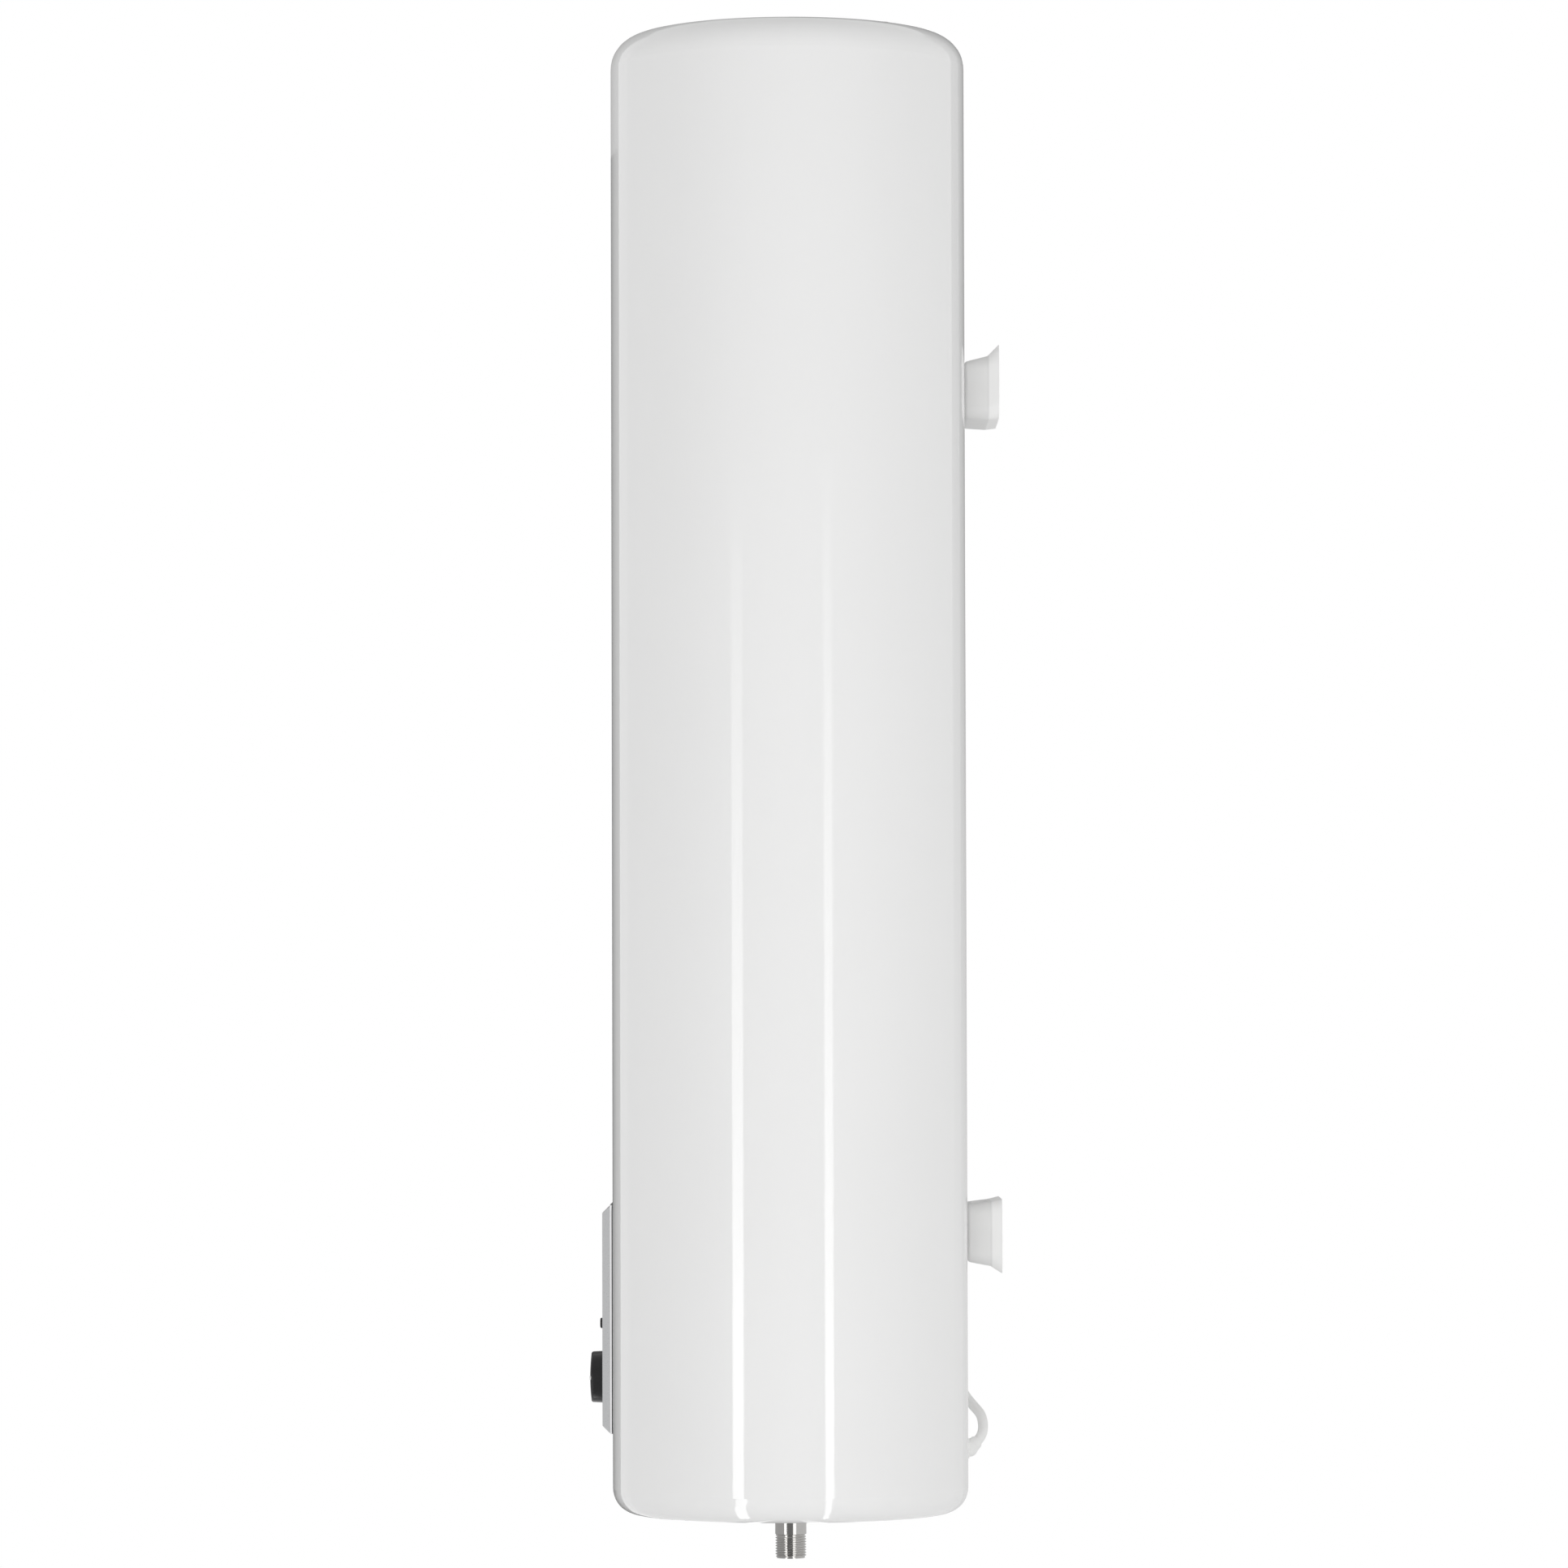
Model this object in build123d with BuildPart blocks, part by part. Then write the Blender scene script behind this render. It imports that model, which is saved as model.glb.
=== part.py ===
from build123d import *
from math import cos, pi, radians, sin, sqrt, tan
import os

os.makedirs("parts", exist_ok=True)

# Flat twin-tank electric water heater, in millimetres.
# X runs across the heater, the front faces -Y, Y = 0 is the wall and Z points up.
# The origin lies on the wall, on the top rim of the upper hanging tray.

# Tanks, foam and jacket
TANK_R = 93.0
TANK_WALL = 1.5
TANK_GAP = 8.0
TANK_KNUCKLE_R = 42.0
FOAM_T = 26.0
FOAM_GAP = 0.3
SHELL_T = 1.0
BODY_H = 1000.0
TOP_EDGE_R = 22.0
BOTTOM_EDGE_R = 17.0
SERVICE_H = 95.0
CROWN_H = 50.0
WELD_GAP = 0.1

# Covers that close the rolled ends of the jacket
COVER_T = 2.5
COVER_LAND = 1.0
COVER_LIP = 11.0
COVER_GAP = 0.4
COVER_RIB_H = 6.0
COVER_RIB_T = 2.0
COVER_SCREW_R = 1.75
COVER_SCREW_HEAD_R = 3.2
COVER_SCREW_HEAD_T = 1.4
COVER_SCREW_L = 8.0
SCREW_GAP = 0.15

# Hanging trays, their pads, bolts and the straps on the tanks
STANDOFF = 25.0
UPPER_TRAY_RISE = 764.8
TRAY_SPACING = 578.5
UPPER_TRAY_LEAN = 5.8
LOWER_TRAY_LEAN = -2.1
TRAY_BEND_LEAN = 0.25
TRAY_T = 2.0
TRAY_PAD_T = 1.2
TRAY_DEPTH = 16.0
TRAY_BASE_H = 39.0
TRAY_DRAFT = 2.5
TRAY_FLARE = 3.5
TRAY_CORNER_R = 7.0
TRAY_BEND_R = 3.0
PAD_INSET = 3.5
HOOK_PITCH = 26.0
HOOK_SLOT_L = 18.0
HOOK_SLOT_R = 5.5
HOOK_OFFSET = 14.5
BOLT_PITCH = 62.0
BOLT_EDGE = 15.0
BOLT_R = 4.0
BOLT_HEAD_AF = 13.0
BOLT_HEAD_T = 5.3
BOLT_REACH = 16.0
BOLT_GAP = 0.3
STRAP_W = 230.0
STRAP_H = 44.0
STRAP_T = 5.0
STRAP_CRADLE = 7.0
POST_R = 10.0

# Water side
PIPE_PITCH = 100.0
PIPE_R = 10.65
PIPE_BORE_R = 8.0
PIPE_THREAD_R = 10.478
PIPE_THREAD_L = 16.0
PIPE_PLAIN_L = 18.0
PIPE_RISE = 20.0
PIPE_HOLE_GAP = 0.6
RISER_R = 7.85
RISER_BORE_R = 6.6
RISER_SOCKET = 16.0
RISER_TOP_GAP = 30.0
DIFFUSER_CAP_R = 17.0
DIFFUSER_T = 2.5
DIFFUSER_H = 26.0
TRANSFER_R = 9.0
TRANSFER_BORE_R = 7.5
TRANSFER_BEND_R = 20.0
TRANSFER_RISE = 25.0
TRANSFER_SHIFT = 45.0
TRANSFER_DIP_GAP = 45.0
TRANSFER_ENTRY = 10.0

# Heater flanges and what they carry
FLANGE_R = 37.0
FLANGE_SHIFT = 8.0
NECK_R = 25.0
COLLAR_T = 6.0
FLANGE_GASKET_T = 2.0
FLANGE_T = 4.0
STUD_R = 3.0
STUD_CIRCLE_R = 31.0
STUD_COUNT = 4
STUD_TAIL = 2.0
NUT_AF = 10.0
NUT_T = 5.0
ELEMENT_R = 4.0
ELEMENT_PITCH = 24.0
ELEMENT_SHIFT = 6.0
ELEMENT_L = 300.0
ELEMENT_BEND_R = 11.5
ELEMENT_TAIL = 4.0
PIN_R = 1.5
PIN_L = 10.0
ANODE_R = 8.0
ANODE_L = 180.0
ANODE_SHIFT = 16.0
ANODE_STUD_R = 2.5
ANODE_STUD_L = 10.0
WELL_R = 5.0
WELL_BORE_R = 3.6
WELL_L = 260.0
WELL_SHIFT = 12.0
BULB_R = 3.2
BULB_L = 100.0
BULB_TIP_GAP = 20.0

# Control panel, from the jacket outwards, and the controls
PANEL_W = 110.0
PANEL_H = 155.0
PANEL_RISE = 51.0
PANEL_CORNER_R = 6.0
PANEL_T = 7.5
PANEL_BEVEL = 5.0
PANEL_SEAL_T = 0.8
PANEL_SEAL_INSET = 1.0
PANEL_OPENING_INSET = 12.0
FACE_INSET = 8.0
FACE_T = 2.0
FACE_RECESS = 0.4
FACE_GAP = 0.2
WINDOW_INSET = 14.0
PLATE_INSET = 3.0
PLATE_T = 1.2
PANEL_SCREW_INSET = 6.5
PANEL_SCREW_R = 1.5
PANEL_SCREW_HEAD_R = 3.0
PANEL_SCREW_HEAD_T = 2.0
PANEL_SCREW_BITE = 4.5
KNOB_RISE = 87.0
KNOB_R = 17.8
KNOB_PROUD = 9.7
KNOB_GAP = 0.5
KNOB_WALL = 2.4
KNOB_HUB_R = 6.5
KNOB_EDGE_R = 1.4
KNOB_RIM_R = 0.6
POINTER_W = 2.2
POINTER_L = 9.0
POINTER_DEPTH = 1.0
POINTER_GAP = 0.05
SHAFT_R = 3.0
SHAFT_BITE = 5.5
SHAFT_SOCKET = 8.0
SHAFT_GAP = 0.15
BUSH_R = 5.0
BUSH_L = 5.0
THERMOSTAT_W = 40.0
THERMOSTAT_D = 27.0
THERMOSTAT_H = 46.0
THERMOSTAT_EDGE_R = 2.0
BUTTON_RISE = 124.0
BUTTON_R = 3.65
BUTTON_PROUD = 2.8
BUTTON_EDGE_R = 1.2
BUTTON_GAP = 0.2
BUTTON_COLLAR_R = 5.0
BUTTON_COLLAR_T = 1.2
BUTTON_STEM_R = 2.0
BUTTON_TRAVEL = 2.0
BUTTON_SOCKET = 5.0
SWITCH_SIDE = 15.0
SWITCH_D = 14.0
LENS_RISE = 152.0
LENS_R = 2.5
LENS_FLANGE_R = 4.0
LENS_FLANGE_T = 1.5
POCKET_W = 96.0
POCKET_DEPTH = 42.0

# Safety cut-out, terminals and wires in the service space
CUTOUT_W = 30.0
CUTOUT_D = 20.0
CUTOUT_H = 24.0
CUTOUT_EDGE_R = 1.5
PROBE_R = 3.3
PROBE_L = 120.0
RESET_R = 3.0
RESET_PROUD = 3.0
RESET_TRAVEL = 1.5
RESET_SOCKET = 5.0
RESET_GAP = 0.2
BLOCK_W = 46.0
BLOCK_D = 14.0
BLOCK_H = 22.0
BLOCK_RISE = 60.0
BLOCK_WELLS = 4
BLOCK_WELL_R = 3.2
BLOCK_WELL_PITCH = 11.0
BLOCK_WELL_DEPTH = 8.0
WIRE_R = 1.4
WIRE_BEND_R = 6.0
CAPILLARY_R = 1.2
CAPILLARY_BEND_R = 10.0
CAPILLARY_DROP = 36.0

# Mains lead, its gland and its plug
GLAND_INSET = 12.0
GLAND_RISE = 32.0
GLAND_FLANGE_R = 10.0
GLAND_FLANGE_TOP_R = 6.8
GLAND_FLANGE_T = 5.4
GLAND_HOLE_R = 6.5
GLAND_BARREL_R = 6.2
GLAND_BARREL_L = 12.0
GLAND_BALL_R = 6.0
GLAND_NOSE_BASE_R = 5.7
GLAND_NOSE_TIP_R = 4.6
GLAND_NOSE_L = 8.0
GLAND_TILT = 40.0
GLAND_SWING = 35.0
GLAND_NUT_AF = 17.0
GLAND_NUT_T = 5.0
CORD_R = 3.5
CORD_FIRST_RUN = 8.5
CORD_BEND_SHARE = 0.45
COIL_SELF_RADII = 6
COIL_R = 42.0
COIL_PITCH = 7.6
COIL_TURNS = 3.5
COIL_CLIMB_TURNS = 0.5
COIL_SAMPLES = 400
TURN_STEP = 0.002
TIE_TURN = 0.25
TIE_T = 0.8
TIE_W = 8.0
TIE_GAP = 0.6
PLUG_RELIEF_L = 28.0
PLUG_RELIEF_R = 5.0
PLUG_NECK_R = 9.0
PLUG_R = 18.0
PLUG_L = 34.0
PLUG_EDGE_R = 3.0
PLUG_SIDE_CUT = 4.5
PLUG_SIDE_W = 12.0
PLUG_SIDE_L = 22.5
PLUG_PIN_R = 2.4
PLUG_PIN_L = 19.0
PLUG_PIN_PITCH = 19.0
PLUG_PIN_SOCKET = 6.0

# Places that follow from the sizes
TANK_X = TANK_R + TANK_GAP / 2
BODY_D = 2 * (TANK_R + FOAM_T + SHELL_T)
BODY_W = BODY_D + 2 * TANK_X
BODY_Y = -(STANDOFF + BODY_D / 2)
BACK_Y = -STANDOFF
FRONT_Y = -STANDOFF - BODY_D
TRAY_BASE_W = BOLT_PITCH + 2 * BOLT_EDGE
TRAY_MOUTH_H = TRAY_BASE_H + 2 * (TRAY_DRAFT + TRAY_FLARE)
UPPER_TRAY_Z = -(TRAY_MOUTH_H - TRAY_T) / 2 - UPPER_TRAY_LEAN
LOWER_TRAY_Z = UPPER_TRAY_Z - TRAY_SPACING
BASE_Z = UPPER_TRAY_Z - UPPER_TRAY_RISE
TOP_Z = BASE_Z + BODY_H
TANK_BOTTOM_Z = BASE_Z + SERVICE_H
TANK_TOP_Z = TOP_Z - CROWN_H
TANK_REAR_Y = BODY_Y + TANK_R
TRAY_BASE_Y = BACK_Y + TRAY_PAD_T
BOTTOM_SEAT = BOTTOM_EDGE_R + COVER_LAND
TOP_SEAT = TOP_EDGE_R + COVER_LAND
FLANGE_X = TANK_X + FLANGE_SHIFT
COLLAR_Z = TANK_BOTTOM_Z - COLLAR_T
FLANGE_TOP_Z = COLLAR_Z - FLANGE_GASKET_T
FLANGE_Z = FLANGE_TOP_Z - FLANGE_T
ELEMENT_END_Z = FLANGE_Z - ELEMENT_TAIL
PIN_END_Z = ELEMENT_END_Z - PIN_L
WELL_Y = BODY_Y - WELL_SHIFT
PANEL_Z = BASE_Z + PANEL_RISE + PANEL_H / 2
PANEL_BACK_Y = FRONT_Y - PANEL_SEAL_T
PANEL_FRONT_Y = PANEL_BACK_Y - PANEL_T
FACE_FRONT_Y = PANEL_FRONT_Y + FACE_RECESS
FACE_BACK_Y = FACE_FRONT_Y + FACE_T
PLATE_FRONT_Y = FRONT_Y + SHELL_T
PLATE_REAR_Y = PLATE_FRONT_Y + PLATE_T
KNOB_Z = BASE_Z + KNOB_RISE
KNOB_BACK_Y = FACE_FRONT_Y - KNOB_GAP
KNOB_T = KNOB_BACK_Y - (PANEL_FRONT_Y - KNOB_PROUD)
BUTTON_Z = BASE_Z + BUTTON_RISE
LENS_Z = BASE_Z + LENS_RISE
CUTOUT_Z = FLANGE_Z - CUTOUT_H
BLOCK_FRONT_Y = BACK_Y - SHELL_T - BLOCK_D
BLOCK_Z = BASE_Z + BLOCK_RISE
GLAND_X = GLAND_INSET - TANK_X
GLAND_Z = BASE_Z + GLAND_RISE
SIDES = {"inlet": 1, "outlet": -1}


def level(height, x=0.0):
    """Horizontal plane over the body's axis, at a height above the body's base."""
    return Plane((x, BODY_Y, BASE_Z + height))


def facing(x, y, z):
    """Upright plane whose normal points to the front of the heater."""
    return Plane((x, y, z), x_dir=(1, 0, 0), z_dir=(0, -1, 0))


def oblong(inset):
    """Section of the body, drawn in by an inset all round."""
    SlotOverall(BODY_W - 2 * inset, BODY_D - 2 * inset)


def save(part, name):
    """Label a finished piece and write it out."""
    part.label = name
    export_step(part, f"parts/{name}.step")


def pipe_along(points, bend, radius, bore=0.0):
    """Round tube or rod along straight runs joined by bends of one radius."""
    with BuildPart() as tube:
        with BuildLine() as path:
            FilletPolyline(*points, radius=bend)
        with BuildSketch(Plane(path.line @ 0, z_dir=path.line % 0)):
            Circle(radius)
            if bore:
                Circle(bore, mode=Mode.SUBTRACT)
        sweep()
    return tube.part


# Jacket: a sheet steel oblong can, rolled in at both ends, with a stepped seat for each cover
with BuildPart() as shell_void:
    with BuildSketch(level(SHELL_T)):
        oblong(SHELL_T)
    extrude(amount=BODY_H - 2 * SHELL_T)
    fillet(shell_void.edges().group_by(Axis.Z)[-1], TOP_EDGE_R - SHELL_T)
    fillet(shell_void.edges().group_by(Axis.Z)[0], BOTTOM_EDGE_R - SHELL_T)
    with BuildSketch(level(0)):
        oblong(BOTTOM_SEAT - SHELL_T)
    extrude(amount=COVER_T + SHELL_T, mode=Mode.SUBTRACT)
    with BuildSketch(level(BODY_H)):
        oblong(TOP_SEAT - SHELL_T)
    extrude(amount=-COVER_T - SHELL_T, mode=Mode.SUBTRACT)

cover_screw_row = BODY_D / 2 - BOTTOM_SEAT - COVER_LIP / 2
cover_screw_end = BODY_W / 2 - BOTTOM_SEAT - COVER_LIP / 2
cover_screw_places = [(x, y) for x in (-TANK_X, TANK_X) for y in (-cover_screw_row, cover_screw_row)]
cover_screw_places += [(-cover_screw_end, 0), (cover_screw_end, 0)]
panel_screw_places = GridLocations(
    PANEL_W - 2 * PANEL_SCREW_INSET, PANEL_H - 2 * PANEL_SCREW_INSET, 2, 2
)

with BuildPart() as outer_shell:
    with BuildSketch(level(0)):
        oblong(0)
    extrude(amount=BODY_H)
    fillet(outer_shell.edges().group_by(Axis.Z)[-1], TOP_EDGE_R)
    fillet(outer_shell.edges().group_by(Axis.Z)[0], BOTTOM_EDGE_R)
    add(shell_void.part, mode=Mode.SUBTRACT)
    for seat, height, inward in ((BOTTOM_SEAT, 0, 1), (TOP_SEAT, BODY_H, -1)):
        with BuildSketch(level(height)):
            oblong(seat)
        extrude(amount=inward * COVER_T, mode=Mode.SUBTRACT)
        with BuildSketch(level(height)):
            oblong(seat + COVER_LIP)
        extrude(amount=inward * (COVER_T + SHELL_T), mode=Mode.SUBTRACT)
    with BuildSketch(level(0)):
        with Locations(*cover_screw_places):
            Circle(COVER_SCREW_R + SCREW_GAP)
    extrude(amount=COVER_T + SHELL_T, mode=Mode.SUBTRACT)
    with BuildSketch(facing(0, FRONT_Y + SHELL_T, PANEL_Z)):
        RectangleRounded(PANEL_W - 2 * WINDOW_INSET, PANEL_H - 2 * WINDOW_INSET, PANEL_CORNER_R)
        with panel_screw_places:
            Circle(PANEL_SCREW_R + SCREW_GAP)
    extrude(amount=SHELL_T, mode=Mode.SUBTRACT)
    for tray_z in (UPPER_TRAY_Z, LOWER_TRAY_Z):
        with BuildSketch(facing(0, BACK_Y, tray_z)):
            with GridLocations(BOLT_PITCH, 0, 2, 1):
                Circle(BOLT_R + BOLT_GAP)
        extrude(amount=SHELL_T, mode=Mode.SUBTRACT)
    with BuildSketch(facing(GLAND_X, BACK_Y, GLAND_Z)):
        Circle(GLAND_HOLE_R)
    extrude(amount=SHELL_T, mode=Mode.SUBTRACT)
save(outer_shell.part, "outer_shell")

# Top cover: a plate pressed into the upper seat, with a rib that locates it in the opening
with BuildPart() as top_cover:
    with BuildSketch(level(BODY_H - COVER_T)):
        oblong(TOP_SEAT + COVER_GAP)
    extrude(amount=COVER_T)
    with BuildSketch(level(BODY_H - COVER_T)):
        oblong(TOP_SEAT + COVER_LIP + COVER_GAP)
        offset(amount=-COVER_RIB_T, mode=Mode.SUBTRACT)
    extrude(amount=-COVER_RIB_H)
save(top_cover.part, "top_cover")

# Bottom cover: the service plate, with two pipe holes and recessed screw heads
with BuildPart() as bottom_cover:
    with BuildSketch(level(0)):
        oblong(BOTTOM_SEAT + COVER_GAP)
    extrude(amount=COVER_T)
    with BuildSketch(level(COVER_T)):
        oblong(BOTTOM_SEAT + COVER_LIP + COVER_GAP)
        offset(amount=-COVER_RIB_T, mode=Mode.SUBTRACT)
    extrude(amount=COVER_RIB_H)
    with BuildSketch(level(0)):
        with GridLocations(PIPE_PITCH, 0, 2, 1):
            Circle(PIPE_R + PIPE_HOLE_GAP)
        with Locations(*cover_screw_places):
            Circle(COVER_SCREW_R + SCREW_GAP)
    extrude(amount=COVER_T, mode=Mode.SUBTRACT)
    with BuildSketch(level(0)):
        with Locations(*cover_screw_places):
            Circle(COVER_SCREW_HEAD_R + SCREW_GAP)
    extrude(amount=COVER_SCREW_HEAD_T, mode=Mode.SUBTRACT)
save(bottom_cover.part, "bottom_cover")

with BuildPart() as bottom_cover_screws:
    with BuildSketch(level(0)):
        with Locations(*cover_screw_places):
            Circle(COVER_SCREW_HEAD_R)
    extrude(amount=COVER_SCREW_HEAD_T)
    with BuildSketch(level(COVER_SCREW_HEAD_T)):
        with Locations(*cover_screw_places):
            Circle(COVER_SCREW_R)
    extrude(amount=COVER_SCREW_L)
save(bottom_cover_screws.part, "bottom_cover_screws")


# Tanks: pressed ends with wide knuckles, a heater collar with weld studs, and holes for the pipes
def vessel_blank(side, grow):
    """Closed tank form, grown or shrunk all round."""
    with BuildPart() as blank:
        with BuildSketch(level(SERVICE_H - grow, side * TANK_X)):
            Circle(TANK_R + grow)
        extrude(amount=TANK_TOP_Z - TANK_BOTTOM_Z + 2 * grow)
        fillet(blank.edges().filter_by(GeomType.CIRCLE), TANK_KNUCKLE_R + grow)
    return blank.part


def stud_ring():
    """Places of a heater flange's weld studs about its centre."""
    return PolarLocations(STUD_CIRCLE_R, STUD_COUNT, start_angle=180 / STUD_COUNT)


for name, side in SIDES.items():
    tank_outside = vessel_blank(side, 0)
    tank_inside = vessel_blank(side, -TANK_WALL)
    with BuildPart() as tank:
        add(tank_outside)
        with BuildSketch(Plane((side * FLANGE_X, BODY_Y, COLLAR_Z))):
            Circle(FLANGE_R)
        extrude(amount=COLLAR_T + TANK_WALL)
        add(tank_inside, mode=Mode.SUBTRACT)
        with BuildSketch(Plane((side * FLANGE_X, BODY_Y, COLLAR_Z))):
            Circle(NECK_R)
        extrude(amount=COLLAR_T + TANK_WALL, mode=Mode.SUBTRACT)
        with BuildSketch(Plane((side * FLANGE_X, BODY_Y, COLLAR_Z))):
            with stud_ring():
                Circle(STUD_R)
        extrude(amount=-(FLANGE_GASKET_T + FLANGE_T + NUT_T + STUD_TAIL))
        with BuildSketch(Plane((side * PIPE_PITCH / 2, BODY_Y, TANK_BOTTOM_Z))):
            Circle(PIPE_R + WELD_GAP)
        extrude(amount=PIPE_RISE, mode=Mode.SUBTRACT)
        with BuildSketch(Plane((side * TANK_X, BODY_Y - TRANSFER_SHIFT, TANK_TOP_Z))):
            Circle(TRANSFER_R + WELD_GAP)
        extrude(amount=-TRANSFER_ENTRY, mode=Mode.SUBTRACT)
    save(tank.part, f"{name}_tank")

# Transfer pipe: from the top of the first tank down to the bottom of the second
transfer_y = BODY_Y - TRANSFER_SHIFT
transfer_z = TANK_TOP_Z + TRANSFER_RISE
transfer_points = [
    (TANK_X, transfer_y, TANK_TOP_Z - TRANSFER_ENTRY),
    (TANK_X, transfer_y, transfer_z),
    (-TANK_X, transfer_y, transfer_z),
    (-TANK_X, transfer_y, TANK_BOTTOM_Z + TRANSFER_DIP_GAP),
]
save(pipe_along(transfer_points, TRANSFER_BEND_R, TRANSFER_R, TRANSFER_BORE_R), "transfer_pipe")

# Pipe stubs: a thread below a plain neck, welded through the tank's bottom
for name, x in (("cold_inlet_stub", PIPE_PITCH / 2), ("hot_outlet_stub", -PIPE_PITCH / 2)):
    with BuildPart() as stub:
        with BuildSketch(level(-PIPE_PLAIN_L, x)):
            Circle(PIPE_R)
        extrude(amount=PIPE_PLAIN_L + SERVICE_H + PIPE_RISE)
        with BuildSketch(level(-PIPE_PLAIN_L, x)):
            Circle(PIPE_THREAD_R)
        extrude(amount=-PIPE_THREAD_L)
        with BuildSketch(level(-PIPE_PLAIN_L - PIPE_THREAD_L, x)):
            Circle(PIPE_BORE_R)
        extrude(amount=PIPE_THREAD_L + PIPE_PLAIN_L + SERVICE_H + PIPE_RISE, mode=Mode.SUBTRACT)
    save(stub.part, name)

with BuildPart() as outlet_riser:
    with BuildSketch(level(SERVICE_H + PIPE_RISE - RISER_SOCKET, -PIPE_PITCH / 2)):
        Circle(RISER_R)
        Circle(RISER_BORE_R, mode=Mode.SUBTRACT)
    extrude(amount=TANK_TOP_Z - TANK_BOTTOM_Z - RISER_TOP_GAP - PIPE_RISE + RISER_SOCKET)
save(outlet_riser.part, "outlet_riser")

# Diffuser: a cap on two legs that turns the cold jet sideways
with BuildPart() as inlet_diffuser:
    with BuildSketch(level(SERVICE_H + PIPE_RISE - RISER_SOCKET, PIPE_PITCH / 2)):
        Circle(RISER_R)
        Circle(RISER_BORE_R, mode=Mode.SUBTRACT)
    extrude(amount=RISER_SOCKET + DIFFUSER_H)
    with BuildSketch(level(SERVICE_H + PIPE_RISE + DIFFUSER_H, PIPE_PITCH / 2)):
        Circle(DIFFUSER_CAP_R)
    extrude(amount=DIFFUSER_T)
    with BuildSketch(level(SERVICE_H + PIPE_RISE + DIFFUSER_H / 2, PIPE_PITCH / 2)):
        Rectangle(2 * DIFFUSER_CAP_R, RISER_R)
        Rectangle(RISER_R, 2 * DIFFUSER_CAP_R)
    extrude(amount=DIFFUSER_H / 2, mode=Mode.SUBTRACT)
save(inlet_diffuser.part, "inlet_diffuser")

# Heater flanges with their gaskets, nuts, elements, anodes and sensor pockets
with BuildPart() as flange_gaskets:
    for side in SIDES.values():
        with BuildSketch(Plane((side * FLANGE_X, BODY_Y, FLANGE_TOP_Z))):
            Circle(FLANGE_R)
            Circle(NECK_R, mode=Mode.SUBTRACT)
            with stud_ring():
                Circle(STUD_R + BOLT_GAP, mode=Mode.SUBTRACT)
        extrude(amount=FLANGE_GASKET_T)
save(flange_gaskets.part, "flange_gaskets")

with BuildPart() as flange_nuts:
    for side in SIDES.values():
        with BuildSketch(Plane((side * FLANGE_X, BODY_Y, FLANGE_Z))):
            with stud_ring():
                RegularPolygon(NUT_AF / 2, 6, major_radius=False)
                Circle(STUD_R + WELD_GAP, mode=Mode.SUBTRACT)
        extrude(amount=-NUT_T)
save(flange_nuts.part, "flange_nuts")

element_y = BODY_Y + ELEMENT_SHIFT
anode_y = BODY_Y + ANODE_SHIFT
for name, side in SIDES.items():
    flange_x = side * FLANGE_X
    with BuildPart() as flange:
        with BuildSketch(Plane((flange_x, BODY_Y, FLANGE_Z))):
            Circle(FLANGE_R)
            with stud_ring():
                Circle(STUD_R + BOLT_GAP, mode=Mode.SUBTRACT)
            with Locations((-ELEMENT_PITCH / 2, ELEMENT_SHIFT), (ELEMENT_PITCH / 2, ELEMENT_SHIFT)):
                Circle(ELEMENT_R + WELD_GAP, mode=Mode.SUBTRACT)
            with Locations((0, -WELL_SHIFT)):
                Circle(WELL_R + WELD_GAP, mode=Mode.SUBTRACT)
            with Locations((0, ANODE_SHIFT)):
                Circle(ANODE_STUD_R + WELD_GAP, mode=Mode.SUBTRACT)
        extrude(amount=FLANGE_T)
    save(flange.part, f"{name}_flange")

    element_top_z = FLANGE_TOP_Z + ELEMENT_L
    legs = (flange_x - ELEMENT_PITCH / 2, flange_x + ELEMENT_PITCH / 2)
    element_points = [
        (legs[0], element_y, ELEMENT_END_Z),
        (legs[0], element_y, element_top_z),
        (legs[1], element_y, element_top_z),
        (legs[1], element_y, ELEMENT_END_Z),
    ]
    hairpin = pipe_along(element_points, ELEMENT_BEND_R, ELEMENT_R)
    with BuildPart() as element:
        add(hairpin)
        with BuildSketch(Plane((flange_x, element_y, ELEMENT_END_Z))):
            with GridLocations(ELEMENT_PITCH, 0, 2, 1):
                Circle(PIN_R)
        extrude(amount=-PIN_L)
    save(element.part, f"{name}_heating_element")

    with BuildPart() as anode:
        with BuildSketch(Plane((flange_x, anode_y, FLANGE_TOP_Z))):
            Circle(ANODE_R)
        extrude(amount=ANODE_L)
        fillet(anode.edges().group_by(Axis.Z)[-1], ANODE_R / 4)
        with BuildSketch(Plane((flange_x, anode_y, FLANGE_TOP_Z))):
            Circle(ANODE_STUD_R)
        extrude(amount=-ANODE_STUD_L)
    save(anode.part, f"{name}_anode")

    with BuildPart() as thermowell:
        with BuildSketch(Plane((flange_x, WELL_Y, FLANGE_Z))):
            Circle(WELL_R)
        extrude(amount=WELL_L)
        with BuildSketch(Plane((flange_x, WELL_Y, FLANGE_Z))):
            Circle(WELL_BORE_R)
        extrude(amount=WELL_L - (WELL_R - WELL_BORE_R), mode=Mode.SUBTRACT)
    save(thermowell.part, f"{name}_thermowell")

# Hanging trays: stamped, drafted cups whose mouths flare to the wall, the upper one leaning up
bend_y = TRAY_BASE_Y + TRAY_DEPTH


def tray_section(y, spread, inset, rise):
    """Rounded outline of a tray, spread from its base size, drawn in for the inner wall and raised."""
    with BuildSketch(facing(0, y, rise)) as outline:
        RectangleRounded(
            TRAY_BASE_W + 2 * (spread - inset),
            TRAY_BASE_H + 2 * (spread - inset),
            TRAY_CORNER_R + spread - inset,
        )
    return outline.sketch


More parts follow.
